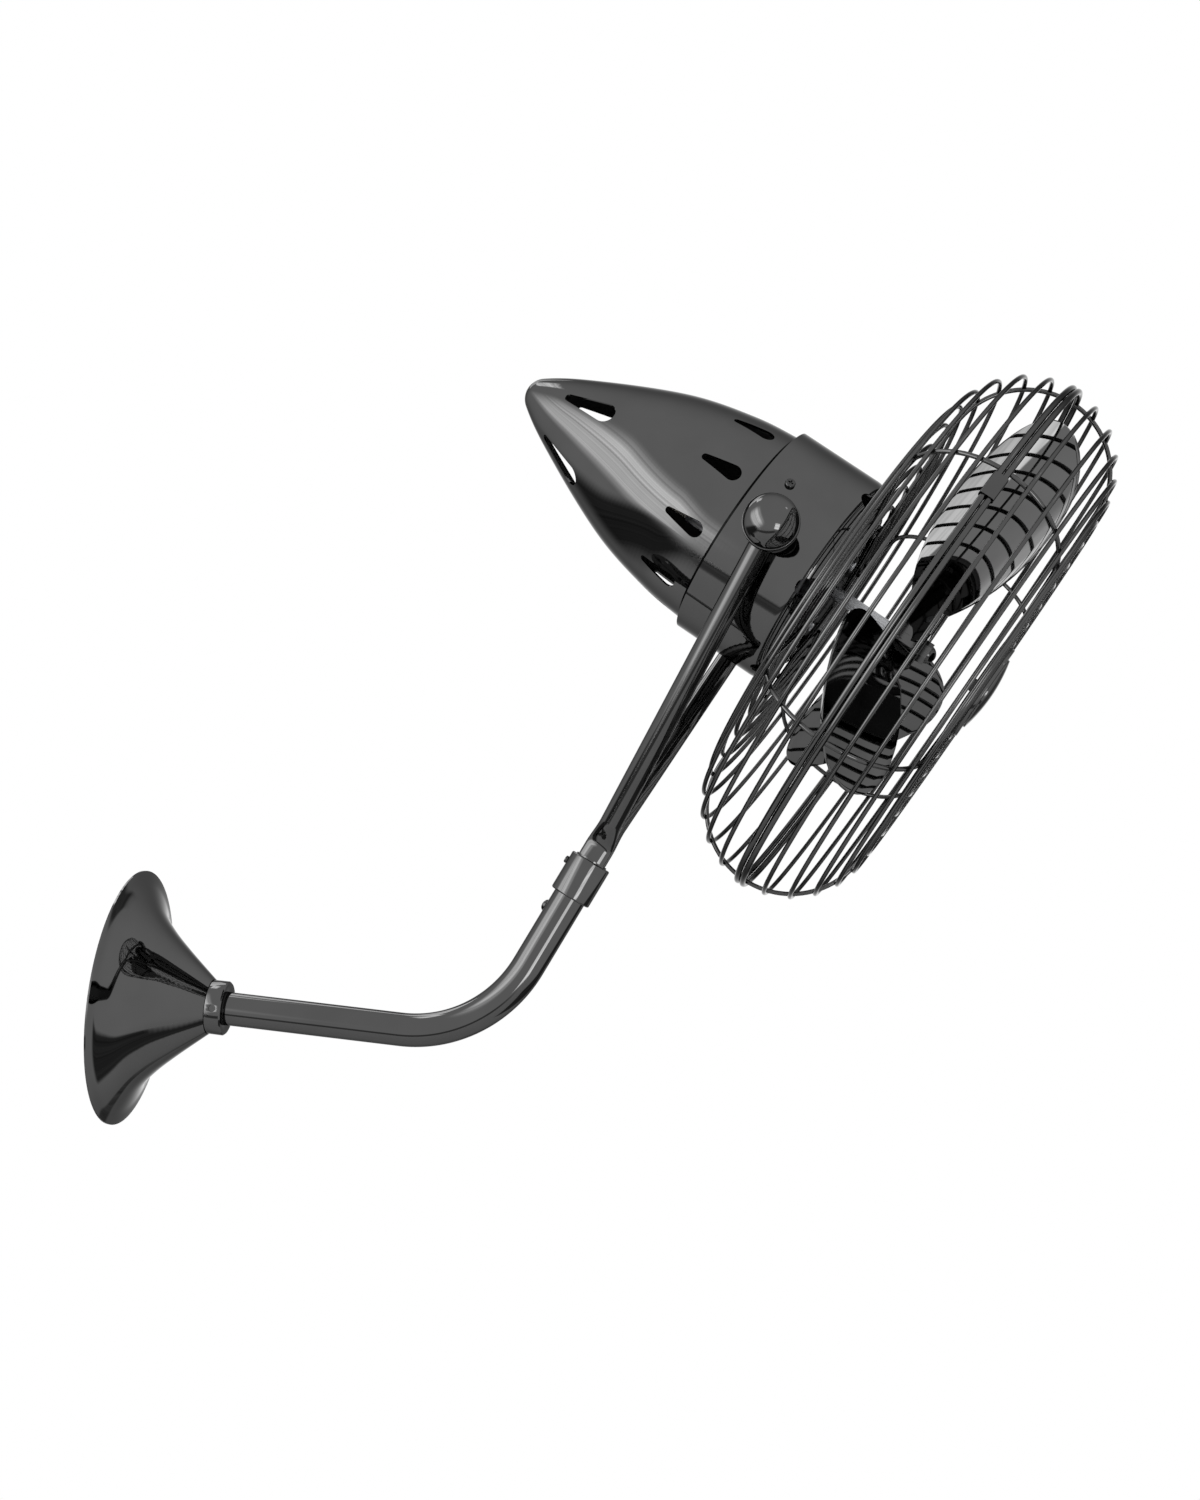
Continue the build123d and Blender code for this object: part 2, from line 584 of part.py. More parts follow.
# Studs: a square-shouldered bolt from inside, through saddle, band, boss and barrel
STUD_HEAD_FACE = SADDLE_PAD_FACE - TOUCH
for name, side in SIDES:
    with BuildPart() as pivot_stud:
        with BuildSketch(pivot_place(side, STUD_HEAD_FACE)):
            RegularPolygon(STUD_HEAD[0], 6)
        extrude(amount=-STUD_HEAD[1])
        with BuildSketch(pivot_place(side, STUD_HEAD_FACE)):
            Circle(STUD_R)
        extrude(amount=STUD_END - STUD_HEAD_FACE)
    save(pivot_stud, f"pivot_stud_{name}")

# Friction washers between boss and barrel, and lock nuts under the caps
with BuildPart() as friction_washers:
    for name, side in SIDES:
        with BuildSketch(pivot_place(side, BOSS_END)):
            tube_sketch(BOSS_R, STUD_R + TOUCH)
        extrude(amount=BARREL_INNER - BOSS_END)
save(friction_washers, "friction_washers")

with BuildPart() as pivot_nuts:
    for name, side in SIDES:
        with BuildSketch(pivot_place(side, BARREL_OUTER)):
            RegularPolygon(PIVOT_NUT[0], 6)
            Circle(STUD_R + TOUCH, mode=Mode.SUBTRACT)
        extrude(amount=PIVOT_NUT[1])
save(pivot_nuts, "pivot_nuts")

# Motor: two cast bells round a wound stator, bolted to the front shell's face
BELL_INNER_R = MOTOR_R - BELL_WALL
for name, facing in (("front", 1), ("rear", -1)):
    end = facing * BELL_LENGTH
    boss_end = facing * (BELL_LENGTH + BEARING_BOSS)
    with BuildPart() as motor_bell:
        with BuildSketch(section_at(0)):
            Polygon(
                (0, BELL_INNER_R),
                (0, FLANGE_R),
                (facing * FLANGE_THICK, FLANGE_R),
                (facing * FLANGE_THICK, MOTOR_R),
                (end - facing * BELL_CORNER, MOTOR_R),
                (end, MOTOR_R - BELL_CORNER),
                (end, BEARING_R + 4),
                (boss_end, BEARING_R + 4),
                (boss_end, SHAFT_R + 1),
                (boss_end - facing * BELL_WALL, SHAFT_R + 1),
                (boss_end - facing * BELL_WALL, BEARING_R + TOUCH),
                (end - facing * (BEARING_LENGTH + BELL_WALL), BEARING_R + TOUCH),
                (end - facing * (BEARING_LENGTH + BELL_WALL), BEARING_R + 4),
                (end - facing * BELL_WALL, BEARING_R + 4),
                (end - facing * BELL_WALL, BELL_INNER_R - BELL_CORNER + 1),
                (end - facing * (BELL_WALL + BELL_CORNER - 1), BELL_INNER_R),
                align=None,
            )
        revolve(axis=fan_axis)
        with BuildSketch(head.offset(-FLANGE_THICK - 1)):
            with PolarLocations((FLANGE_R + MOTOR_R) / 2, 4):
                Circle(FACE_SCREW_R + TOUCH)
        extrude(amount=2 * FLANGE_THICK + 2, mode=Mode.SUBTRACT)
        if facing > 0:
            with BuildSketch(head.offset(end - BELL_WALL / 2)):
                with PolarLocations(POST_CIRCLE_R, 4, start_angle=45):
                    Circle(POST_R)
            extrude(amount=FACE_S - SHELL_WALL - end + BELL_WALL / 2)
            with BuildSketch(head.offset(FACE_S)):
                with PolarLocations(POST_CIRCLE_R, 4, start_angle=45):
                    Circle(FACE_SCREW_R + TOUCH)
            extrude(amount=-10, mode=Mode.SUBTRACT)
    save(motor_bell, f"motor_{name}_bell")

with BuildPart() as stator_core:
    with BuildSketch(head.offset(-STATOR_HALF)):
        tube_sketch(BELL_INNER_R - TOUCH, STATOR_BORE_R)
        with PolarLocations(STATOR_BORE_R + 7, STATOR_SLOTS, start_angle=15):
            SlotOverall(11, 6.5, mode=Mode.SUBTRACT)
    extrude(amount=2 * STATOR_HALF)
save(stator_core, "stator_core")

with BuildPart() as stator_windings:
    with BuildSketch(section_at(0)):
        for facing in (-1, 1):
            with Locations((facing * (STATOR_HALF + WINDING_LENGTH / 2), STATOR_BORE_R + 7)):
                RectangleRounded(WINDING_LENGTH, 11, 2.5)
    revolve(axis=fan_axis)
save(stator_windings, "stator_windings")

# Ball bearings in the bells' bosses
for name, facing in (("front", 1), ("rear", -1)):
    with BuildPart() as bearing:
        with BuildSketch(section_at(0)):
            middle = facing * (BELL_LENGTH + BEARING_BOSS - BELL_WALL - BEARING_LENGTH / 2)
            with Locations((middle, (BEARING_R + SHAFT_R + RUNNING) / 2)):
                Rectangle(BEARING_LENGTH, BEARING_R - SHAFT_R - RUNNING)
        revolve(axis=fan_axis)
        fillet(bearing.edges().filter_by(GeomType.CIRCLE).group_by(SortBy.RADIUS)[-1], 0.5)
    save(bearing, f"{name}_bearing")

with BuildPart() as motor_flange_screws:
    for k in range(4):
        out = head_up.rotate(Axis((0, 0, 0), fan_dir), 90 * k)
        seat = Plane(
            origin=yoke_point - fan_dir * (FLANGE_THICK + TOUCH) + out * (FLANGE_R + MOTOR_R) / 2,
            z_dir=fan_dir * -1,
        )
        add(pan_screw(seat, 3.0, 2.2, FACE_SCREW_R, 2 * FLANGE_THICK + 1))
save(motor_flange_screws, "motor_flange_screws")

with BuildPart() as motor_mount_screws:
    for k in range(4):
        out = head_up.rotate(Axis((0, 0, 0), fan_dir), 45 + 90 * k)
        seat = Plane(origin=yoke_point + fan_dir * (FACE_S + TOUCH) + out * POST_CIRCLE_R, z_dir=fan_dir)
        add(pan_screw(seat, 3.4, 2.4, FACE_SCREW_R, 8))
save(motor_mount_screws, "motor_mount_screws")

# Run capacitor, held behind the motor in a cup on the rear bell
CUP_S = CAPACITOR_S + CAPACITOR_LENGTH
REAR_BOSS_END = -(BELL_LENGTH + BEARING_BOSS)
with BuildPart() as capacitor:
    with BuildSketch(head.offset(CAPACITOR_S)):
        Circle(CAPACITOR_R)
    extrude(amount=CAPACITOR_LENGTH)
    fillet(capacitor.edges().filter_by(GeomType.CIRCLE), 1.5)
save(capacitor, "capacitor")

with BuildPart() as capacitor_cup:
    with BuildSketch(section_at(0)):
        Polygon(
            (CUP_S - 18, CAPACITOR_R + TOUCH),
            (CUP_S - 18, CAPACITOR_R + 1.5),
            (CUP_S + 2, CAPACITOR_R + 1.5),
            (CUP_S + 2, BEARING_R),
            (REAR_BOSS_END, BEARING_R),
            (REAR_BOSS_END, BEARING_R - 3),
            (CUP_S + TOUCH, BEARING_R - 3),
            (CUP_S + TOUCH, CAPACITOR_R + TOUCH),
            align=None,
        )
    revolve(axis=fan_axis)
save(capacitor_cup, "capacitor_cup")


def cage_half(facing, face_hoops, rib_end_r):
    """Half of the cage: hoops and a rim wire about the fan axis, and ribs welded inside them.

    The wires are drawn with flat sides, which keeps the thirty-odd hoops light.
    """
    rib_r = CROWN_R - 2 * WIRE_R + WELD
    rib_wrap = degrees(acos(RIM_WIRE_R * 0.8 / rib_r))
    with BuildPart(head) as cage:
        with BuildSketch(section_at(RIB_TURN + 180 / RIB_COUNT)):
            for angle in CROWN_ANGLES:
                out = Vector(facing * sin(radians(angle)), cos(radians(angle)))
                with Locations(Vector(RIM_S, CROWN_CENTRE_R) + out * CROWN_R):
                    RegularPolygon(WIRE_R, 6, rotation=90 - facing * angle)
            with Locations(*[(RIM_S + facing * CROWN_R, radius) for radius in face_hoops]):
                RegularPolygon(WIRE_R, 6)
            with Locations((RIM_S + facing * (RIM_WIRE_R + TOUCH), RIM_R)):
                RegularPolygon(RIM_WIRE_R, 8, rotation=22.5)
        revolve(axis=fan_axis)
        for k in range(RIB_COUNT):
            plane = section_at(RIB_TURN + k * 360 / RIB_COUNT)
            with BuildLine(plane) as rib_path:
                flat = Line(
                    (RIM_S + facing * rib_r, rib_end_r), (RIM_S + facing * rib_r, CROWN_CENTRE_R)
                )
                CenterArc(
                    (RIM_S, CROWN_CENTRE_R), rib_r, 0 if facing > 0 else 180, facing * rib_wrap
                )
            with BuildSketch(Plane(origin=flat @ 0, x_dir=plane.z_dir, z_dir=flat % 0)):
                RegularPolygon(WIRE_R, 6)
            sweep(path=rib_path.line)
    return cage


save(cage_half(-1, FACE_HOOPS_R, REAR_RIB_END_R), "rear_guard")
save(cage_half(1, FACE_HOOPS_R + (FRONT_INNER_HOOP_R,), FRONT_RIB_END_R), "front_guard")

# Mount ring: the inner hoop of the rear half is welded to it, and it screws to the face
with BuildPart() as guard_mount_ring:
    with BuildSketch(head.offset(FACE_S)):
        tube_sketch(MOUNT_RING_R[1], MOUNT_RING_R[0])
        with PolarLocations(GUARD_SCREW_CIRCLE_R, 4):
            Circle(FACE_SCREW_R + TOUCH, mode=Mode.SUBTRACT)
    extrude(amount=MOUNT_RING_THICK)
save(guard_mount_ring, "guard_mount_ring")

with BuildPart() as guard_screws:
    for k in range(4):
        out = head_up.rotate(Axis((0, 0, 0), fan_dir), 90 * k)
        seat = Plane(
            origin=yoke_point + fan_dir * (FACE_S + MOUNT_RING_THICK + TOUCH) + out * GUARD_SCREW_CIRCLE_R,
            z_dir=fan_dir,
        )
        add(pan_screw(seat, 3.2, 2.2, FACE_SCREW_R, 7))
save(guard_screws, "guard_screws")

# Clips: short sleeves pressed round both rim wires
clip_inner = (4 * RIM_WIRE_R + 4 * TOUCH, 2 * RIM_WIRE_R + 2 * TOUCH)
clip_sweep = degrees(CLIP_LENGTH / RIM_R)
with BuildPart() as rim_clips:
    for turn in CLIP_ANGLES:
        with BuildSketch(section_at(turn - clip_sweep / 2)):
            with Locations((RIM_S, RIM_R)):
                RectangleRounded(clip_inner[0] + 2 * CLIP_WALL, clip_inner[1] + 2 * CLIP_WALL, 2.2)
                Rectangle(*clip_inner, mode=Mode.SUBTRACT)
        revolve(axis=fan_axis, revolution_arc=clip_sweep)
save(rim_clips, "rim_clips")

# Medallion: a plain stepped disc on the front of the cage, drawn up to a plate behind it
MEDALLION_S = RIM_S + CROWN_R + WIRE_R + TOUCH
CLAMP_S = RIM_S + CROWN_R - 3 * WIRE_R + WELD - TOUCH
with BuildPart() as medallion:
    with BuildSketch(section_at(0)):
        with BuildLine():
            outline = Polyline(
                (CLAMP_S - 4, 0),
                (CLAMP_S - 4, FACE_SCREW_R),
                (MEDALLION_S, FACE_SCREW_R),
                (MEDALLION_S, MEDALLION_R),
                (MEDALLION_S + MEDALLION_THICK, MEDALLION_R),
                (MEDALLION_S + MEDALLION_THICK, MEDALLION_STEP_R),
                (MEDALLION_S + MEDALLION_THICK + MEDALLION_STEP, MEDALLION_STEP_R),
            )
            dome = dome_arc(MEDALLION_S + MEDALLION_THICK + MEDALLION_STEP, MEDALLION_STEP_R, MEDALLION_DOME)
            Line(dome @ 1, outline @ 0)
        make_face()
    revolve(axis=fan_axis)
save(medallion, "medallion")

with BuildPart() as medallion_clamp:
    with BuildSketch(head.offset(CLAMP_S)):
        tube_sketch(CLAMP_R, FACE_SCREW_R + TOUCH)
    extrude(amount=-1.5)
    with BuildSketch(head.offset(CLAMP_S - 1.5)):
        RegularPolygon(5, 6)
        Circle(FACE_SCREW_R + TOUCH, mode=Mode.SUBTRACT)
    extrude(amount=-3)
save(medallion_clamp, "medallion_clamp")

# Shaft and rotor core
with BuildPart() as motor_shaft:
    with BuildSketch(head.offset(REAR_BOSS_END + BELL_WALL)):
        Circle(SHAFT_R)
    extrude(amount=SHAFT_END - REAR_BOSS_END - BELL_WALL)
    chamfer(motor_shaft.faces().sort_by(fan_axis)[-1].edges(), 0.6)
save(motor_shaft, "motor_shaft")

with BuildPart() as rotor_core:
    with BuildSketch(head.offset(-STATOR_HALF)):
        tube_sketch(STATOR_BORE_R - AIR_GAP, SHAFT_R + TOUCH)
    extrude(amount=2 * STATOR_HALF)
save(rotor_core, "rotor_core")


def blade_pitch(radius):
    """Pitch in degrees at this radius: steep at the root and flatter at the tip."""
    share = (radius - BLADE_ROOT_R) / (BLADE_TIP_R - BLADE_ROOT_R)
    return BLADE_PITCH_ROOT + (BLADE_PITCH_TIP - BLADE_PITCH_ROOT) * share


def chord_plane(radius, chord=0.0):
    """The plane square to the radius: X runs along the blade's chord and Y out of its front face."""
    pitch = radians(blade_pitch(radius))
    along = Vector(0, cos(pitch), sin(pitch))
    return Plane(origin=Vector(radius, 0, 0) + along * chord, x_dir=along, z_dir=(1, 0, 0))


def twisted_sheet(radii, front, thickness):
    """A cambered and twisted sheet through sections at these radii, its face this far forward."""
    half = BLADE_HALF_WIDTH + 4
    with BuildPart() as sheet:
        for radius in radii:
            with BuildSketch(chord_plane(radius)):
                with BuildLine():
                    face = ThreePointArc((-half, front), (0, front - BLADE_CAMBER), (half, front))
                    back = ThreePointArc(
                        (half, front - thickness),
                        (0, front - BLADE_CAMBER - thickness),
                        (-half, front - thickness),
                    )
                    Line(face @ 1, back @ 0)
                    Line(back @ 1, face @ 0)
                make_face()
        loft()
    return sheet.part


def screw_place(radius, chord):
    """Where a blade screw's head sits: a plane on the sheet's front face."""
    plane = chord_plane(radius, chord)
    sag = BLADE_CAMBER * (1 - (chord / (BLADE_HALF_WIDTH + 4)) ** 2)
    return Plane(origin=plane.origin + plane.y_dir * (SCREW_PLAY - sag), x_dir=plane.x_dir, z_dir=plane.y_dir)


def plan_plane():
    """The plane that blade outlines are drawn on: X is the radius and Y the chord."""
    pitch = radians(blade_pitch((BLADE_ROOT_R + BLADE_TIP_R) / 2))
    return Plane(origin=(0, 0, 0), x_dir=(1, 0, 0), z_dir=(0, -sin(pitch), cos(pitch)))


# One blade in its own frame: a paddle with a round tip, pressed to a camber and a twist
SHEET_RADII = (BLADE_ROOT_R - 18, 70.0, 130.0, BLADE_TIP_R + 6)
TIP_CENTRE_R = BLADE_TIP_R - BLADE_HALF_WIDTH
with BuildPart() as blade_form:
    add(twisted_sheet(SHEET_RADII, 0, BLADE_THICK))
    with BuildSketch(plan_plane()):
        with BuildLine():
            tip = ThreePointArc(
                (TIP_CENTRE_R, -BLADE_HALF_WIDTH), (BLADE_TIP_R, 0), (TIP_CENTRE_R, BLADE_HALF_WIDTH)
            )
            lead = TangentArc(tip @ 1, (BLADE_ROOT_R, BLADE_ROOT_HALF), tangent=(-1, 0))
            trail = TangentArc(tip @ 0, (BLADE_ROOT_R, -BLADE_ROOT_HALF), tangent=(-1, 0))
            Line(lead @ 1, trail @ 1)
        make_face()
    extrude(amount=BLADE_HALF_WIDTH, both=True, mode=Mode.INTERSECT)
    for radius, chord in BLADE_SCREWS:
        with BuildSketch(screw_place(radius, chord)):
            Circle(FACE_SCREW_R + SCREW_PLAY)
        extrude(amount=-12, mode=Mode.SUBTRACT)

hub_plane = head.offset(BLADE_S)
blade_turns = [BLADE_TURN + k * 360 / BLADE_COUNT for k in range(BLADE_COUNT)]
for number, turn in enumerate(blade_turns, 1):
    with BuildPart(hub_plane) as blade:
        with PolarLocations(0, 1, start_angle=turn):
            add(blade_form.part)
    save(blade, f"blade_{number}")

# Hub: a bored boss with three twisted arms that the blades are screwed to
with BuildPart() as arm_plate:
    add(twisted_sheet((BLADE_ROOT_R - 28, BLADE_ROOT_R, 70.0), -BLADE_THICK - TOUCH * 2, ARM_PLATE_THICK))
    with BuildSketch(plan_plane()):
        with Locations((ARM_PLATE_END_R / 2, 0)):
            RectangleRounded(ARM_PLATE_END_R, 2 * ARM_PLATE_HALF, 8)
    extrude(amount=BLADE_HALF_WIDTH, both=True, mode=Mode.INTERSECT)
    for radius, chord in BLADE_SCREWS:
        with BuildSketch(screw_place(radius, chord)):
            Circle(FACE_SCREW_R + TOUCH)
        extrude(amount=-16, mode=Mode.SUBTRACT)

with BuildPart(hub_plane) as blade_hub:
    with BuildSketch(hub_plane.offset(-HUB_LENGTH * 0.75)):
        Circle(HUB_R)
    extrude(amount=HUB_LENGTH)
    with PolarLocations(0, BLADE_COUNT, start_angle=BLADE_TURN):
        add(arm_plate.part)
    with BuildSketch(hub_plane.offset(-HUB_LENGTH)):
        Circle(SHAFT_R + TOUCH)
    extrude(amount=2 * HUB_LENGTH, mode=Mode.SUBTRACT)
save(blade_hub, "blade_hub")

with BuildPart(hub_plane) as blade_screws:
    for radius, chord in BLADE_SCREWS:
        screw = pan_screw(screw_place(radius, chord), 3.6, 2.2, FACE_SCREW_R, 6)
        with PolarLocations(0, BLADE_COUNT, start_angle=BLADE_TURN):
            add(screw)
save(blade_screws, "blade_screws")

# Domed nut that draws the hub onto the shaft
HUB_FRONT = BLADE_S + HUB_LENGTH * 0.25
with BuildPart() as hub_nut:
    with BuildSketch(head.offset(HUB_FRONT)):
        RegularPolygon(8.5, 6)
    extrude(amount=6)
    with BuildSketch(section_at(0)):
        with BuildLine():
            Line((HUB_FRONT + 6, 0), (HUB_FRONT + 6, 6.8))
            dome = dome_arc(HUB_FRONT + 6, 6.8, 5.5)
            Line(dome @ 1, (HUB_FRONT + 6, 0))
        make_face()
    revolve(axis=fan_axis)
    with BuildSketch(head.offset(HUB_FRONT)):
        Circle(SHAFT_R + TOUCH)
    extrude(amount=SHAFT_END - HUB_FRONT + 0.5, mode=Mode.SUBTRACT)
save(hub_nut, "hub_nut")
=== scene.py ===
"""The look of a wall mounted fan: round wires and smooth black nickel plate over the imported
CAD frame, with a camera and studio light. Sizes here are millimetres, each mesh is put into
the row frame in metres, and the sections follow the fan from the wall out to its blades.
"""

from math import acos, asin, cos, pi, radians, sin, sqrt, tan

import bmesh
import bpy
from mathutils import Matrix, Vector


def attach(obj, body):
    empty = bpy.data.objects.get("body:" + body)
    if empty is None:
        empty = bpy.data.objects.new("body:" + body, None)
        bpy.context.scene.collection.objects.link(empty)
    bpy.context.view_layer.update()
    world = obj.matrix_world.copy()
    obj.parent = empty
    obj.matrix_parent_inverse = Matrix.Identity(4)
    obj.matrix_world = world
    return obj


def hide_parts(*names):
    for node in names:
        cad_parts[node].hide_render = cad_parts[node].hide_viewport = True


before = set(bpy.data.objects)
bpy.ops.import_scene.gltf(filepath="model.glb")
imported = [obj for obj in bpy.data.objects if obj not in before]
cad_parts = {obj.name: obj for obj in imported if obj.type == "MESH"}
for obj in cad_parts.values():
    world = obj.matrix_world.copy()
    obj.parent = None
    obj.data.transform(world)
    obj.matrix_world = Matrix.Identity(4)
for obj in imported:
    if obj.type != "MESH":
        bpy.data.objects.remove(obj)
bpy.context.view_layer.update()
MM = 0.001

# Camera: a long lens in front of the fan's near side, a little below the head and turned
# a few degrees to the wall, at the place where the CAD's outline falls on the photograph's.
YAW, PITCH, ROLL = radians(6.844), radians(4.581), radians(6.437)
CAMERA_AT, FOCAL_LENGTH, FILM_HEIGHT = Vector((507.6, -1555.5, 88.3)), 52.697, 36.0
ahead = Vector((-sin(YAW) * cos(PITCH), cos(YAW) * cos(PITCH), sin(PITCH)))
level = Vector((cos(YAW), sin(YAW), 0))
upright = level.cross(ahead)
across = level * cos(ROLL) + upright * sin(ROLL)
upright = upright * cos(ROLL) - level * sin(ROLL)
lens = bpy.data.cameras.new("camera")
lens.sensor_fit = "VERTICAL"
lens.sensor_height = FILM_HEIGHT
lens.lens = FOCAL_LENGTH


def in_scene(name, data):
    """Puts a new object with this data into the scene."""
    shown = bpy.data.objects.new(name, data)
    bpy.context.scene.collection.objects.link(shown)
    return shown


camera = in_scene("camera", lens)
looking = Matrix((across, upright, -ahead)).transposed().to_4x4()
camera.matrix_world = Matrix.Translation(CAMERA_AT * MM) @ looking
bpy.context.scene.camera = camera


# Wall plate, arm socket and terminal block: the plate is pressed from 3 mm steel, the socket is
# turned and riveted to it, both are zinc plated, and two grub screws pin the arm in the socket.
# The terminal block is moulded, and is screwed to the plate above the socket.
def linear(hex_colour):
    """A hex sRGB colour as linear RGBA."""
    parts = [int(hex_colour[i : i + 2], 16) / 255 for i in (1, 3, 5)]
    return [c / 12.92 if c <= 0.04045 else ((c + 0.055) / 1.055) ** 2.4 for c in parts] + [1.0]


def add(tree, kind, inputs=(), **settings):
    """Adds a node: its settings, and for each socket a value or the output that feeds it."""
    made = tree.nodes.new(kind)
    for name, value in settings.items():
        setattr(made, name, value)
    for name, value in dict(inputs).items():
        if isinstance(value, bpy.types.NodeSocket):
            tree.links.new(value, made.inputs[name])
        else:
            made.inputs[name].default_value = value
    return made


def bare_finish(name, metallic):
    """An empty material; returns it with its tree and its surface node."""
    made = bpy.data.materials.new(name)
    made.use_nodes = True
    surface = made.node_tree.nodes["Principled BSDF"]
    surface.inputs["Metallic"].default_value = metallic
    return made, made.node_tree, surface


def coat(finish, *nodes):
    """Gives CAD nodes their finish."""
    for node in nodes:
        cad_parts[node].data.materials.clear()
        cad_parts[node].data.materials.append(finish)


# Bright zinc on steel: a soft silvery grey whose crystals break the gloss into 3 mm clouds.
zinc, tree, surface = bare_finish("bright_zinc_plate", 1.0)
spot = add(tree, "ShaderNodeTexCoord")
cloud = add(
    tree, "ShaderNodeTexNoise", {"Vector": spot.outputs["Object"], "Scale": 330.0, "Detail": 3.0}
)
grey = add(
    tree,
    "ShaderNodeMix",
    {"Factor": cloud.outputs["Fac"], 6: linear("#9b9ca0"), 7: linear("#b7b8ba")},
    data_type="RGBA",
)
gloss = add(
    tree, "ShaderNodeMapRange", {"Value": cloud.outputs["Fac"], "To Min": 0.26, "To Max": 0.42}
)
tree.links.new(grey.outputs[2], surface.inputs["Base Color"])
tree.links.new(gloss.outputs["Result"], surface.inputs["Roughness"])
coat(zinc, "wall_plate", "arm_socket", "socket_screws")

# Polyamide, moulded with a fine spark texture: a warm ivory with a dull sheen and 0.8 mm pimples.
polyamide, tree, surface = bare_finish("moulded_polyamide", 0.0)
spot = add(tree, "ShaderNodeTexCoord")
drift = add(
    tree, "ShaderNodeTexNoise", {"Vector": spot.outputs["Object"], "Scale": 90.0, "Detail": 2.0}
)
ivory = add(
    tree,
    "ShaderNodeMix",
    {"Factor": drift.outputs["Fac"], 6: linear("#d8d4c8"), 7: linear("#e4e1d7")},
    data_type="RGBA",
)
pimple = add(tree, "ShaderNodeTexNoise", {"Vector": spot.outputs["Object"], "Scale": 1250.0})
relief = add(
    tree, "ShaderNodeBump", {"Height": pimple.outputs["Fac"], "Strength": 0.2, "Distance": 0.0001}
)
tree.links.new(ivory.outputs[2], surface.inputs["Base Color"])
tree.links.new(relief.outputs["Normal"], surface.inputs["Normal"])
surface.inputs["Roughness"].default_value = 0.45
surface.inputs["IOR"].default_value = 1.53
coat(polyamide, "terminal_block")


# Canopy and collar: the canopy is a trumpet spun from 1.2 mm steel sheet, polished and plated, and
# slips over the arm to cover the plate. A turned collar with one set screw holds it to the wall.
def placed(origin, x_axis, z_axis):
    """A frame with its Z on z_axis and its X on x_axis, in millimetres."""
    turn = Matrix((x_axis, z_axis.cross(x_axis), z_axis)).transposed().to_4x4()
    return Matrix.Translation(origin) @ turn


def sealed(mesh):
    """Merges a mesh's doubled points, and turns its faces outwards."""
    work = bmesh.new()
    work.from_mesh(mesh)
    bmesh.ops.remove_doubles(work, verts=work.verts, dist=1e-6)
    bmesh.ops.recalc_face_normals(work, faces=work.faces)
    work.to_mesh(mesh)
    work.free()
    return mesh


def mesh_through(name, rings, place, capped=False):
    """A closed mesh through rings of points, whose last ring joins the first or is capped."""
    count, steps = len(rings[0]), len(rings)
    points = [place @ Vector(p) * MM for ring in rings for p in ring]
    faces = []
    for i in range(steps - 1 if capped else steps):
        for j in range(count):
            a, b = i * count, (i + 1) % steps * count
            faces.append((a + j, a + (j + 1) % count, b + (j + 1) % count, b + j))
    if capped:
        faces += [tuple(range(count))[::-1], tuple(range((steps - 1) * count, steps * count))]
    mesh = bpy.data.meshes.new(name)
    mesh.from_pydata(points, [], faces)
    return sealed(mesh)


def turned(name, section, place, segments=160):
    """Turns a closed section of (place along the axis, radius) points about the frame's Z."""
    turns = [2 * pi * k / segments for k in range(segments)]
    return mesh_through(
        name, [[(r * cos(t), r * sin(t), z) for z, r in section] for t in turns], place
    )


def arc(centre, radius, start, end, steps=12):
    """Section points of an arc, its angles in degrees from the axis."""
    turns = [radians(start + (end - start) * i / steps) for i in range(steps + 1)]
    return [(centre[0] + radius * cos(t), centre[1] + radius * sin(t)) for t in turns]


def flowing(points, steps, first=None, last=None):
    """A smooth section line through points, its directions at the ends set where given."""
    spots = [Vector(p) for p in points]
    slopes = [(b - a) / 2 for a, b in zip(spots, spots[2:])]
    slopes.insert(0, Vector(first) * (spots[1] - spots[0]).length if first else spots[1] - spots[0])
    slopes.append(Vector(last) * (spots[-1] - spots[-2]).length if last else spots[-1] - spots[-2])
    line = [tuple(spots[0])]
    for i in range(len(spots) - 1):
        for k in range(1, steps + 1):
            u = k / steps
            start, leave, arrive = 2 * u**3 - 3 * u**2 + 1, u**3 - 2 * u**2 + u, u**3 - u**2
            from_here = spots[i] * start + slopes[i] * leave
            line.append(tuple(from_here + spots[i + 1] * (1 - start) + slopes[i + 1] * arrive))
    return line


def thickened(line, wall):
    """A closed section: the outer line, and the same line set in by the wall."""
    inner = []
    for i, (z, r) in enumerate(line):
        before, after = line[max(i - 1, 0)], line[min(i + 1, len(line) - 1)]
        along = Vector((after[0] - before[0], after[1] - before[1])).normalized()
        inner.append((z + along.y * wall, r - along.x * wall))
    return line + inner[::-1]


def settled(shown):
    """Swaps an object's live modifiers for the mesh that they give."""
    graph = bpy.context.evaluated_depsgraph_get()
    mesh = bpy.data.meshes.new_from_object(shown.evaluated_get(graph))
    shown.modifiers.clear()
    shown.data = mesh
    return shown


SHARP_FROM = 35.0  # degrees: a flatter edge is left as it is


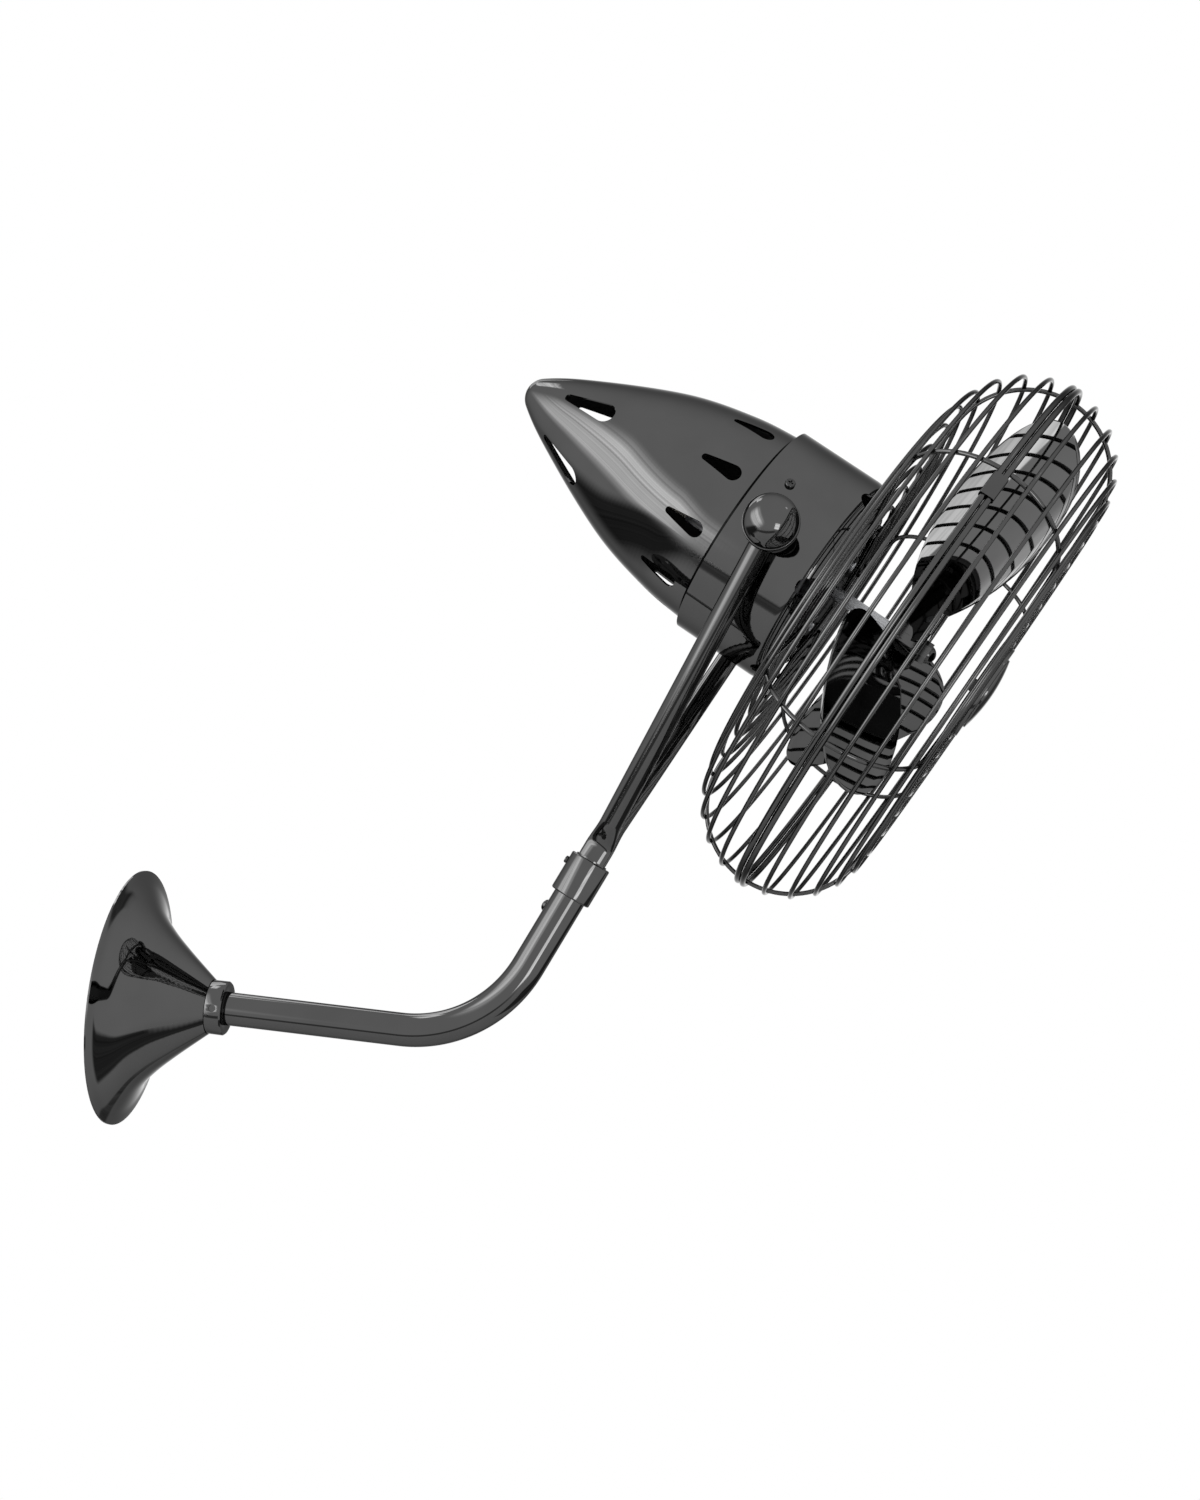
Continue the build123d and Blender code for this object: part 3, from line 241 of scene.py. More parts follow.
def piece(name, mesh, finish, body, node, crease=30.0, rounded=0.0, cutter=None, wall=0.0):
    """One piece in place of a CAD node: given its wall, cut, its edges rounded, shaded smooth."""
    shown = in_scene(name, mesh)
    if wall:
        skin = shown.modifiers.new("wall", "SOLIDIFY")
        skin.thickness, skin.offset, skin.use_even_offset = wall * MM, -1.0, True
    if cutter:
        cut = shown.modifiers.new("cut", "BOOLEAN")
        cut.object, cut.solver = cutter, "EXACT"
    if rounded:
        edge = shown.modifiers.new("rounded", "BEVEL")
        edge.width, edge.segments, edge.harden_normals = rounded * MM, 2, False
        edge.limit_method, edge.angle_limit = "ANGLE", radians(SHARP_FROM)
    settled(shown)
    if cutter:
        bpy.data.objects.remove(cutter)
    shown.data.materials.clear()
    shown.data.materials.append(finish)
    shown.data.shade_smooth()
    shown.data.set_sharp_from_angle(angle=radians(crease))
    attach(shown, body)
    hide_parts(node)
    return shown


def band_scale(spacing):
    """The Wave texture's scale at which its bands stand this many millimetres apart."""
    return 2 * pi / (20 * spacing * MM)


def black_nickel(
    name, dark, light, haze, marks=0.0, lie=(0, 0, 0), at=(0, 0, 0), depth=0.0, edge="#a8a8a8"
):
    """Black nickel plate: two close greys and a gloss that drift over 30 mm patches, as buffing
    leaves them, and rings or lines of tool marks round the X axis of a frame that lies as given.
    The alloy's edge tint keeps a glancing mirror nearly as dark as a straight one."""
    made, tree, surface = bare_finish(name, 1.0)
    surface.inputs["Specular Tint"].default_value = linear(edge)
    spot = add(tree, "ShaderNodeTexCoord")
    patch = add(
        tree, "ShaderNodeTexNoise", {"Vector": spot.outputs["Object"], "Scale": 33.0, "Detail": 2.0}
    )
    grey = add(
        tree,
        "ShaderNodeMix",
        {"Factor": patch.outputs["Fac"], 6: linear(dark), 7: linear(light)},
        data_type="RGBA",
    )
    gloss = add(
        tree,
        "ShaderNodeMapRange",
        {"Value": patch.outputs["Fac"], "To Min": haze[0], "To Max": haze[1]},
    )
    tree.links.new(grey.outputs[2], surface.inputs["Base Color"])
    tree.links.new(gloss.outputs["Result"], surface.inputs["Roughness"])
    if marks:
        lay = add(
            tree,
            "ShaderNodeMapping",
            {"Vector": spot.outputs["Object"], "Location": at, "Rotation": lie},
            vector_type="TEXTURE",
        )
        rings = add(
            tree,
            "ShaderNodeTexWave",
            {
                "Vector": lay.outputs["Vector"],
                "Scale": band_scale(marks),
                "Distortion": 0.6,
                "Detail": 2.0,
            },
            wave_type="BANDS",
            bands_direction="X",
        )
        relief = add(
            tree,
            "ShaderNodeBump",
            {"Height": rings.outputs["Fac"], "Strength": depth, "Distance": 0.0001},
        )
        tree.links.new(relief.outputs["Normal"], surface.inputs["Normal"])
    return made


# Black nickel on spun and buffed steel: a dark mirror that shows the white room as a neutral
# mid grey. Its spinning marks are finer than 1 mm, and are drawn 3 mm apart so that they show.
spun_nickel = black_nickel(
    "black_nickel_on_spun_steel", "#535353", "#5a5a5a", (0.02, 0.06), marks=3.0, depth=0.03
)

WALL_END = placed(Vector((0, 0, 0)), Vector((0, 1, 0)), Vector((1, 0, 0)))
CANOPY_R, CANOPY_DEPTH, CANOPY_NECK_R, CANOPY_HOLE_R, CANOPY_WALL = 92.0, 61.0, 20.0, 12.4, 1.2
TRUMPET_SPOTS = [(4.5, 81.0), (12.0, 66.2), (23.0, 53.1), (38.0, 39.3)]
lip, neck = (CANOPY_WALL, CANOPY_R), (CANOPY_DEPTH, CANOPY_NECK_R)
trumpet = flowing([lip] + TRUMPET_SPOTS + [neck], steps=10)
canopy_section = thickened(
    [(0.0, CANOPY_R)] + trumpet + [(CANOPY_DEPTH, CANOPY_HOLE_R)], CANOPY_WALL
)
piece(
    "canopy_skin",
    turned("canopy_skin", canopy_section, WALL_END, segments=192),
    spun_nickel,
    "wall",
    "canopy",
)

# Black nickel on drawn tube and turned parts: the same mirror, a shade darker and without marks.
tube_nickel = black_nickel("black_nickel_on_drawn_tube", "#515151", "#585858", (0.03, 0.08))

COLLAR_R, COLLAR_START, COLLAR_END, COLLAR_CHAMFER = 19.5, 61.05, 73.0, 1.0
TUBE_BORE_R = 12.1
collar_section = [(COLLAR_START, TUBE_BORE_R), (COLLAR_START, COLLAR_R)]
collar_section += [(COLLAR_END - COLLAR_CHAMFER, COLLAR_R), (COLLAR_END, COLLAR_R - COLLAR_CHAMFER)]
collar_section.append((COLLAR_END, TUBE_BORE_R))
SET_SCREW_AT, SET_SCREW_HOLE_R, HOLE_FROM_R, HOLE_TO_R = 67.0, 2.55, 12.5, 20.5
drill_section = [(HOLE_FROM_R, 0.0), (HOLE_FROM_R, SET_SCREW_HOLE_R)]
drill_section += [(HOLE_TO_R, SET_SCREW_HOLE_R), (HOLE_TO_R, 0.0)]
to_the_screw = placed(Vector((SET_SCREW_AT, 0, 0)), Vector((1, 0, 0)), Vector((0, -1, 0)))
drill = in_scene("drill", turned("drill", drill_section, to_the_screw, segments=32))
collar_mesh = turned("collar_skin", collar_section, WALL_END, segments=96)
piece("collar_skin", collar_mesh, tube_nickel, "wall", "canopy_collar", rounded=0.3, cutter=drill)

# Black nickel on cold-headed screws: barrel plated, so a little duller than the tubes.
screw_nickel = black_nickel("black_nickel_on_screws", "#424242", "#4f4f4f", (0.14, 0.24))
coat(screw_nickel, "collar_set_screw")


# Arm: one 24 mm steel tube with a 1.5 mm wall, drawn, bent once to a 95 mm radius, polished and
# plated. It is pinned in the socket and carries the fork at its upper end.
def tree_for(name, sizes):
    """An empty geometry tree with named sizes; returns it, its inputs and its end."""
    tree = bpy.data.node_groups.new(name, "GeometryNodeTree")
    tree.interface.new_socket("Geometry", in_out="INPUT", socket_type="NodeSocketGeometry")
    tree.interface.new_socket("Geometry", in_out="OUTPUT", socket_type="NodeSocketGeometry")
    for label, value in sizes.items():
        kind = "NodeSocketInt" if isinstance(value, int) else "NodeSocketFloat"
        tree.interface.new_socket(label, in_out="INPUT", socket_type=kind)
    return tree, add(tree, "NodeGroupInput").outputs, add(tree, "NodeGroupOutput")


def finish_tree(tree, geometry, finish, end):
    """Ends a tree with its copies made real, in this finish."""
    real = add(tree, "GeometryNodeRealizeInstances", {"Geometry": geometry})
    plated = add(
        tree, "GeometryNodeSetMaterial", {"Geometry": real.outputs["Geometry"], "Material": finish}
    )
    tree.links.new(plated.outputs["Geometry"], end.inputs["Geometry"])


def grown(name, seed, tree, sizes):
    """The mesh that a geometry tree makes of a seed mesh at these sizes."""
    shown = in_scene(name, seed)
    step = shown.modifiers.new("grown", "NODES")
    step.node_group = tree
    for item in tree.interface.items_tree:
        if item.in_out == "INPUT" and item.name in sizes:
            step[item.identifier] = sizes[item.name]
    mesh = settled(shown).data
    bpy.data.objects.remove(shown)
    return mesh


def moved(mesh, place):
    """Takes a mesh in millimetres from its own frame to the row frame."""
    mesh.transform(Matrix.Scale(MM, 4) @ place)
    return sealed(mesh)


ARM_R, ARM_WALL, ARM_START, ARM_REACH, BEND_R, LEG_TUBE = 12.0, 1.5, 3.0, 201.0, 95.0, 72.0
TUBE_SIDES = 64
BEND_ANGLE = radians(65.2)
leg_dir = Vector((cos(BEND_ANGLE), 0, sin(BEND_ANGLE)))
bend_end = Vector((ARM_REACH + BEND_R * sin(BEND_ANGLE), 0, BEND_R * (1 - cos(BEND_ANGLE))))

arm_sizes = {"Tube Radius": ARM_R, "Bend Radius": BEND_R, "Bend Steps": 40}
tree, given, end = tree_for("bent_tube", arm_sizes)
path = add(tree, "GeometryNodeMeshToCurve", {"Mesh": given["Geometry"]})
bent = add(
    tree,
    "GeometryNodeFilletCurve",
    {"Curve": path.outputs["Curve"], "Radius": given["Bend Radius"], "Count": given["Bend Steps"]},
    mode="POLY",
)
round_section = add(
    tree,
    "GeometryNodeCurvePrimitiveCircle",
    {"Resolution": TUBE_SIDES, "Radius": given["Tube Radius"]},
)
tube = add(
    tree,
    "GeometryNodeCurveToMesh",
    {"Curve": bent.outputs["Curve"], "Profile Curve": round_section.outputs["Curve"]},
)
finish_tree(tree, tube.outputs["Mesh"], tube_nickel, end)

corner = ARM_REACH + BEND_R * tan(BEND_ANGLE / 2)
arm_line = bpy.data.meshes.new("arm_line")
arm_line.from_pydata(
    [(ARM_START, 0, 0), (corner, 0, 0), bend_end + leg_dir * LEG_TUBE], [(0, 1), (1, 2)], []
)
arm_mesh = moved(grown("arm_skin", arm_line, tree, arm_sizes), Matrix.Identity(4))
piece("arm_skin", arm_mesh, tube_nickel, "wall", "arm_tube", wall=ARM_WALL)

# Coupler sleeve: a turned ring over the arm's end with rounded rims. One screw fixes it, and a
# larger pan head screw below it locks the fork's swivel. Both screws are plated black too.
LEG = placed(bend_end, Vector((sin(BEND_ANGLE), 0, -cos(BEND_ANGLE))), leg_dir)
SLEEVE_R, SLEEVE_START, SLEEVE_END, RIM_ROUND = 15.2, 57.0, 87.0, 1.2
sleeve_section = [(SLEEVE_START, TUBE_BORE_R)]
sleeve_section += arc((SLEEVE_START + RIM_ROUND, SLEEVE_R - RIM_ROUND), RIM_ROUND, 180, 90, 6)
sleeve_section += arc((SLEEVE_END - RIM_ROUND, SLEEVE_R - RIM_ROUND), RIM_ROUND, 90, 0, 6)
sleeve_section.append((SLEEVE_END, TUBE_BORE_R))
piece(
    "sleeve_skin",
    turned("sleeve_skin", sleeve_section, LEG, segments=96),
    tube_nickel,
    "wall",
    "coupler_sleeve",
)
coat(screw_nickel, "sleeve_screw", "swivel_screw")

# Fork: two 16 mm tubes, pressed oval at the foot and brazed on a bored steel stem that turns in the
# arm's end. They spread to the housing's two sides, and are polished and plated as one piece.
YOKE_HEIGHT, ROUND_AT, ROUND_Y, FLAT_Y, HALF_SPAN = 343.5, 119.0, 16.5, 4.95, 110.0
FORK_R, FORK_WALL, FOOT_HALF, FOOT_START, FOOT_END = 8.0, 1.3, (10.2, 4.7), 88.0, 97.0
BARREL_R, BARREL_OVERLAP = 17.0, 2.5
SWELL_STEPS, FORK_SIDES = 16, 48
lean = (HALF_SPAN - ROUND_Y) / (YOKE_HEIGHT - ROUND_AT)
swell = ROUND_AT - FOOT_END
fork_heights = [FOOT_START] + [FOOT_END + swell * k / SWELL_STEPS for k in range(SWELL_STEPS + 1)]
fork_heights.append(YOKE_HEIGHT - BARREL_R + BARREL_OVERLAP)
for name, side in (("near", -1), ("far", 1)):
    rings = []
    for inset in (0.0, FORK_WALL):
        wall_rings = []
        for height in fork_heights:
            blend = min(max((height - FOOT_END) / swell, 0.0), 1.0)
            ease = blend * blend * (3 - 2 * blend)
            y = FLAT_Y + (ROUND_Y - FLAT_Y) * (0.45 * ease + 0.55 * blend**2)
            y += lean * max(height - ROUND_AT, 0.0)
            slope = Vector((0, side * lean * ease, 1)).normalized()
            thin = Vector((0, slope.z, -slope.y))
            wide_half = FOOT_HALF[0] + (FORK_R - FOOT_HALF[0]) * ease - inset
            thin_half = FOOT_HALF[1] + (FORK_R - FOOT_HALF[1]) * ease - inset
            wall_rings.append(
                [
                    Vector((wide_half * cos(t), side * y, height)) + thin * thin_half * sin(t)
                    for t in [2 * pi * k / FORK_SIDES for k in range(FORK_SIDES)]
                ]
            )
        rings += wall_rings if inset == 0.0 else wall_rings[::-1]
    tube_mesh = mesh_through(f"fork_tube_{name}_skin", rings, LEG)
    piece(f"fork_tube_{name}_skin", tube_mesh, tube_nickel, "fork", f"fork_tube_{name}", crease=50)
coat(tube_nickel, "fork_stem")

# Barrels and ball caps: a turned barrel is brazed across the top of each tube, and a cap drawn from
# 1.5 mm sheet, a short skirt with a dome over it, is pressed on its outer end to hide the lock nut.
# Each barrel starts 0.03 mm clear of the nylon washer at it, so that their faces share no plane.
yoke_point = bend_end + leg_dir * YOKE_HEIGHT
BARREL_INNER, BARREL_OUTER, STUD_HOLE_R = 95.03, 115.0, 5.1
CAP_START, SKIRT_END, CAP_R, CAP_INNER_R, CAP_EDGE = 112.0, 118.5, 19.5, 17.05, 0.6
DOME_SEAT_R, DOME_START, DOME_R, DOME_HEIGHT, CAP_WALL = 18.1, 119.5, 18.8, 16.5, 1.5
DOME_STEPS = 28
for name, side in (("near", -1), ("far", 1)):
    pivot = placed(yoke_point, Vector((1, 0, 0)), Vector((0, side, 0)))
    barrel_section = [(BARREL_INNER, STUD_HOLE_R), (BARREL_INNER, BARREL_R)]
    barrel_section += [(BARREL_OUTER, BARREL_R), (BARREL_OUTER, STUD_HOLE_R)]
    barrel_mesh = turned(f"barrel_{name}_skin", barrel_section, pivot, segments=96)
    piece(
        f"barrel_{name}_skin", barrel_mesh, tube_nickel, "fork", f"pivot_barrel_{name}", rounded=0.4
    )
    quarter = [pi / 2 * k / DOME_STEPS for k in range(DOME_STEPS)]
    dome = [(DOME_START + DOME_HEIGHT * sin(a), DOME_R * cos(a)) for a in quarter]
    dome.append((DOME_START + DOME_HEIGHT, 0.0))
    hollow = [
        (DOME_START + (DOME_HEIGHT - CAP_WALL) * sin(a), CAP_INNER_R * cos(a)) for a in quarter
    ]
    hollow.append((DOME_START + DOME_HEIGHT - CAP_WALL, 0.0))
    cap_section = [(CAP_START, CAP_INNER_R)]
    cap_section += arc((CAP_START + CAP_EDGE, CAP_R - CAP_EDGE), CAP_EDGE, 180, 90, 5)
    cap_section += arc((SKIRT_END - CAP_EDGE, CAP_R - CAP_EDGE), CAP_EDGE, 90, 0, 5)
    cap_section += [(SKIRT_END, DOME_SEAT_R)] + dome + hollow[::-1]
    cap_mesh = turned(f"cap_{name}_skin", cap_section, pivot, segments=96)
    piece(f"cap_{name}_skin", cap_mesh, tube_nickel, "fork", f"pivot_cap_{name}", crease=40)

# Tilt pivots: a stud through each side of the housing turns in the barrel. A saddle spreads its
# load inside the band, a plated boss spaces it outside, and a nylon washer and a lock nut set its
# grip.
coat(tube_nickel, "pivot_boss_near", "pivot_boss_far")
coat(
    zinc, "pivot_saddle_near", "pivot_saddle_far", "pivot_stud_near", "pivot_stud_far", "pivot_nuts"
)

# Nylon, stamped from sheet: milky white and waxy, with a faint 2 mm cloudiness.
nylon, tree, surface = bare_finish("stamped_nylon_sheet", 0.0)
spot = add(tree, "ShaderNodeTexCoord")
milk = add(tree, "ShaderNodeTexNoise", {"Vector": spot.outputs["Object"], "Scale": 500.0})
white = add(
    tree,
    "ShaderNodeMix",
    {"Factor": milk.outputs["Fac"], 6: linear("#dddad0"), 7: linear("#e9e7e0")},
    data_type="RGBA",
)
tree.links.new(white.outputs[2], surface.inputs["Base Color"])
surface.inputs["Roughness"].default_value = 0.38
surface.inputs["IOR"].default_value = 1.53
surface.inputs["Subsurface Weight"].default_value = 0.1
surface.inputs["Subsurface Scale"].default_value = 0.002
coat(nylon, "friction_washers")

# Rear shell: the bullet, spun from 1.5 mm steel to a round nose, pierced with five long teardrop
# vents at the nose and ten small ones further on, then polished and plated. Its open end steps out
# to a spigot, which fits inside the front shell's band.
HEAD_PITCH = radians(28.6)
fan_dir = Vector((cos(HEAD_PITCH), 0, -sin(HEAD_PITCH)))
head_up = Vector((sin(HEAD_PITCH), 0, cos(HEAD_PITCH)))
HEAD = placed(yoke_point, head_up, fan_dir)

# Black nickel on the spun housing: the canopy's mirror, with its marks round the fan's own axis.
shell_nickel = black_nickel(
    "black_nickel_on_spun_housing",
    "#535353",
    "#5a5a5a",
    (0.02, 0.05),
    marks=3.0,
    lie=(0, HEAD_PITCH, 0),
    at=tuple(yoke_point * MM),
    depth=0.02,
)


def copied_round(tree, thing, count, first_turn):
    """Copies of a thing that stand evenly round the Z axis, from the first turn on."""
    spots = add(tree, "GeometryNodePoints", {"Count": count})
    number = add(tree, "GeometryNodeInputIndex")
    share = add(tree, "ShaderNodeMath", {0: number.outputs["Index"], 1: count}, operation="DIVIDE")
    angle = add(
        tree,
        "ShaderNodeMath",
        {0: share.outputs[0], 1: 2 * pi, 2: first_turn},
        operation="MULTIPLY_ADD",
    )
    turn = add(tree, "ShaderNodeCombineXYZ", {"Z": angle.outputs[0]})
    copies = add(
        tree,
        "GeometryNodeInstanceOnPoints",
        {"Points": spots.outputs["Points"], "Instance": thing, "Rotation": turn.outputs["Vector"]},
    )
    return copies.outputs["Instances"]


ring_tree, given, end = tree_for("copies_round_the_axis", {"Count": 1, "First Turn": 0.0})
copies = copied_round(ring_tree, given["Geometry"], given["Count"], given["First Turn"])
finish_tree(ring_tree, copies, shell_nickel, end)


def punch(outline, radius, depth):
    """A punch that faces out at the top of the head; its outline is (along the axis, across)."""
    floor_ring = [Vector((radius, y, s)) for s, y in outline]
    top_ring = [Vector((radius + depth, y, s)) for s, y in outline]
    return mesh_through("punch", [floor_ring, top_ring], Matrix.Scale(1 / MM, 4), capped=True)


def punches(kinds):
    """One hidden cutter from rings of punches, each given as (punch, count, first turn)."""
    work = bmesh.new()
    for mesh, count, first in kinds:
        ring = moved(
            grown("punches", mesh, ring_tree, {"Count": count, "First Turn": radians(first)}), HEAD
        )
        work.from_mesh(ring)
    cutter_mesh = bpy.data.meshes.new("cutter")
    work.to_mesh(cutter_mesh)
    work.free()
    return in_scene("cutter", cutter_mesh)


def teardrop(narrow, wide, steps=14):
    """The outline round two circles on one line, each given as (place, radius)."""
    slant = acos((wide[1] - narrow[1]) / (wide[0] - narrow[0]))
    outline = []
    for (at, radius), start, stop in (
        (wide, slant - pi, pi - slant),
        (narrow, pi - slant, pi + slant),
    ):
        for k in range(steps + 1):
            t = start + (stop - start) * k / steps
            outline.append((at + radius * cos(t), radius * sin(t)))
    return outline


NOSE_S, NOSE_R, NOSE_WRAP, SHELL_WALL = -219.0, 15.0, 54.0, 1.5
BULLET_SPOTS = [(-172.0, 35.2), (-114.0, 60.7), (-67.0, 72.6), (-32.0, 76.6)]
BULLET_END_SLOPE = (0.997, 0.08)
BAND_START, SPIGOT_END, SPIGOT_R = -29.5, -4.0, 80.3
nose = arc((NOSE_S + NOSE_R, 0), NOSE_R, 180, 180 - NOSE_WRAP, 16)
wrap = radians(NOSE_WRAP)
bullet = flowing(
    [nose[-1]] + BULLET_SPOTS, steps=14, first=(sin(wrap), cos(wrap)), last=BULLET_END_SLOPE
)
spigot = [(BAND_START, SPIGOT_R), (SPIGOT_END, SPIGOT_R)]
shell_section = thickened(nose + bullet[1:] + spigot, SHELL_WALL)
small_vent = punch(teardrop((-70.0, 2.6), (-47.5, 6.2)), radius=40, depth=50)
long_vent = punch(teardrop((-183.0, 2.9), (-152.0, 7.6)), radius=8, depth=60)
vents = punches([(small_vent, 10, 2.5), (long_vent, 5, 5.0)])
rear_mesh = turned("rear_shell_skin", shell_section, HEAD, segments=192)
rear_shell = piece(
    "rear_shell_skin", rear_mesh, shell_nickel, "head", "rear_shell", crease=28, cutter=vents
)

# Painted shade: the inside of the housing is made matt and nearly black, as the shade in its
# hollow, with 2 mm clouds.
painted_inside_shade, tree, surface = bare_finish("painted_shade_inside_housing", 0.6)
spot = add(tree, "ShaderNodeTexCoord")
shade_clouds = add(
    tree, "ShaderNodeTexNoise", {"Vector": spot.outputs["Object"], "Scale": 500.0, "Detail": 2.0}
)
shade_grey = add(
    tree,
    "ShaderNodeMix",
    {"Factor": shade_clouds.outputs["Fac"], 6: linear("#161616"), 7: linear("#262626")},
    data_type="RGBA",
)
tree.links.new(shade_grey.outputs[2], surface.inputs["Base Color"])
surface.inputs["Roughness"].default_value = 0.6


LOOKS_IN, LOOKS_BACK = -0.2, -0.9


def paint_shade_inside(shell):
    """Paints shade on the faces that look to the fan's axis, or back from the band's face."""
    shell.data.materials.append(painted_inside_shade)
    for face in shell.data.polygons:
        out = face.center - yoke_point * MM
        out -= fan_dir * out.dot(fan_dir)
        if face.normal.dot(out.normalized()) < LOOKS_IN or face.normal.dot(fan_dir) < LOOKS_BACK:
            face.material_index = 1


# the rear shell's inside gets the painted shade
paint_shade_inside(rear_shell)

# Front shell: a band with a rounded shoulder and a flat face, drawn from the same sheet, with six
# open slots across the shoulder. It laps over the bullet's spigot, and two screws join them.
BAND_R, FACE_S, SHOULDER_R, FACE_HOLE_R = 82.0, 46.4, 14.0, 15.0
band_line = [(BAND_START, BAND_R)]
band_line += arc((FACE_S - SHOULDER_R, BAND_R - SHOULDER_R), SHOULDER_R, 90, 0, 20)
band_line.append((FACE_S, FACE_HOLE_R))
SLOT_HALF, SLOT_FROM, SLOT_TO, SLOT_COUNT, FIRST_SLOT_TURN = 7.5, 33.0, 59.0, 6, 44.0
half_turn = [pi * (k / 16 - 0.5) for k in range(17)]
slot_outline = [(SLOT_FROM + SLOT_HALF * (1 - cos(t)), SLOT_HALF * sin(t)) for t in half_turn]
slot_outline += [(SLOT_TO, SLOT_HALF), (SLOT_TO, -SLOT_HALF)]
slots = punches([(punch(slot_outline, radius=64, depth=19), SLOT_COUNT, FIRST_SLOT_TURN)])
front_mesh = turned("front_shell_skin", thickened(band_line, SHELL_WALL), HEAD, segments=192)
front_shell = piece(
    "front_shell_skin", front_mesh, shell_nickel, "head", "front_shell", crease=28, cutter=slots
)
# the front shell's inside gets the painted shade
paint_shade_inside(front_shell)
coat(screw_nickel, "shell_screws")

# Motor: two die-cast bells hold a stack of punched sheets with its windings, and a rotor stack on a
# ground shaft runs in two ball bearings. Screws fix it to the shell's face.
# Die-cast aluminium, as cast: a pale satin grey with a 1 mm grain from the die's skin.
cast_aluminium, tree, surface = bare_finish("die_cast_aluminium", 1.0)
spot = add(tree, "ShaderNodeTexCoord")
grain = add(
    tree, "ShaderNodeTexNoise", {"Vector": spot.outputs["Object"], "Scale": 1000.0, "Detail": 3.0}
)
grey = add(
    tree,
    "ShaderNodeMix",
    {"Factor": grain.outputs["Fac"], 6: linear("#8d8e90"), 7: linear("#a8a9ab")},
    data_type="RGBA",
)
relief = add(
    tree, "ShaderNodeBump", {"Height": grain.outputs["Fac"], "Strength": 0.5, "Distance": 0.0001}
)
tree.links.new(grey.outputs[2], surface.inputs["Base Color"])
tree.links.new(relief.outputs["Normal"], surface.inputs["Normal"])
surface.inputs["Roughness"].default_value = 0.48
coat(cast_aluminium, "motor_front_bell", "motor_rear_bell")

# Silicon steel, punched and stacked: dark grey, lined every 0.5 mm where two sheets meet, and drawn
# every 1 mm so that the lines show.
sheet_stack, tree, surface = bare_finish("stacked_silicon_steel", 0.9)
spot = add(tree, "ShaderNodeTexCoord")
lay = add(
    tree,
    "ShaderNodeMapping",
    {"Vector": spot.outputs["Object"], "Rotation": (0, HEAD_PITCH, 0)},
    vector_type="TEXTURE",
)
sheets = add(
    tree,
    "ShaderNodeTexWave",
    {"Vector": lay.outputs["Vector"], "Scale": band_scale(1.0)},
    bands_direction="X",
)
grey = add(
    tree,
    "ShaderNodeMix",
    {"Factor": sheets.outputs["Fac"], 6: linear("#353536"), 7: linear("#515153")},
    data_type="RGBA",
)
relief = add(
    tree, "ShaderNodeBump", {"Height": sheets.outputs["Fac"], "Strength": 0.6, "Distance": 0.0002}
)
tree.links.new(grey.outputs[2], surface.inputs["Base Color"])
tree.links.new(relief.outputs["Normal"], surface.inputs["Normal"])
surface.inputs["Roughness"].default_value = 0.5
coat(sheet_stack, "stator_core", "rotor_core")

# Enamelled copper wire, wound: deep orange-brown and glossy, its 0.6 mm strands drawn 1.2 mm apart.
copper, tree, surface = bare_finish("enamelled_copper_wire", 0.9)
spot = add(tree, "ShaderNodeTexCoord")
strands = add(
    tree,
    "ShaderNodeTexWave",
    {
        "Vector": spot.outputs["Object"],
        "Scale": band_scale(1.2),
        "Distortion": 1.5,
        "Detail": 1.0,
    },
    bands_direction="DIAGONAL",
)
brown = add(
    tree,
    "ShaderNodeMix",
    {"Factor": strands.outputs["Fac"], 6: linear("#6d3317"), 7: linear("#aa5f30")},
    data_type="RGBA",
)
relief = add(
    tree, "ShaderNodeBump", {"Height": strands.outputs["Fac"], "Strength": 0.8, "Distance": 0.0003}
)
tree.links.new(brown.outputs[2], surface.inputs["Base Color"])
tree.links.new(relief.outputs["Normal"], surface.inputs["Normal"])
surface.inputs["Roughness"].default_value = 0.3
coat(copper, "stator_windings")

# Ground steel: bright, with fine grinding marks that only blur its reflections.
ground_steel, tree, surface = bare_finish("ground_steel", 1.0)
spot = add(tree, "ShaderNodeTexCoord")
scratch = add(
    tree, "ShaderNodeTexNoise", {"Vector": spot.outputs["Object"], "Scale": 700.0, "Detail": 4.0}
)
grey = add(
    tree,
    "ShaderNodeMix",
    {"Factor": scratch.outputs["Fac"], 6: linear("#a9aaad"), 7: linear("#c0c1c3")},
    data_type="RGBA",
)
gloss = add(
    tree, "ShaderNodeMapRange", {"Value": scratch.outputs["Fac"], "To Min": 0.16, "To Max": 0.28}
)
tree.links.new(grey.outputs[2], surface.inputs["Base Color"])
tree.links.new(gloss.outputs["Result"], surface.inputs["Roughness"])
coat(ground_steel, "motor_shaft", "front_bearing", "rear_bearing")
coat(zinc, "motor_flange_screws", "motor_mount_screws")

# Capacitor: a moulded can in a pressed steel cup, behind the motor.
coat(polyamide, "capacitor")
coat(zinc, "capacitor_cup")


# Cage: two halves of 3.3 mm steel wire, each a row of hoops welded round six bent ribs, with a
# thicker hoop at the rim where they meet. The rear half is screwed to the shell's face on a ring.
# Black nickel on drawn wire: barrel plated, so its highlight is a little wider than the shell's.
wire_nickel = black_nickel(
    "black_nickel_on_wire", "#4c4c4c", "#565656", (0.03, 0.07), edge="#989898"
)

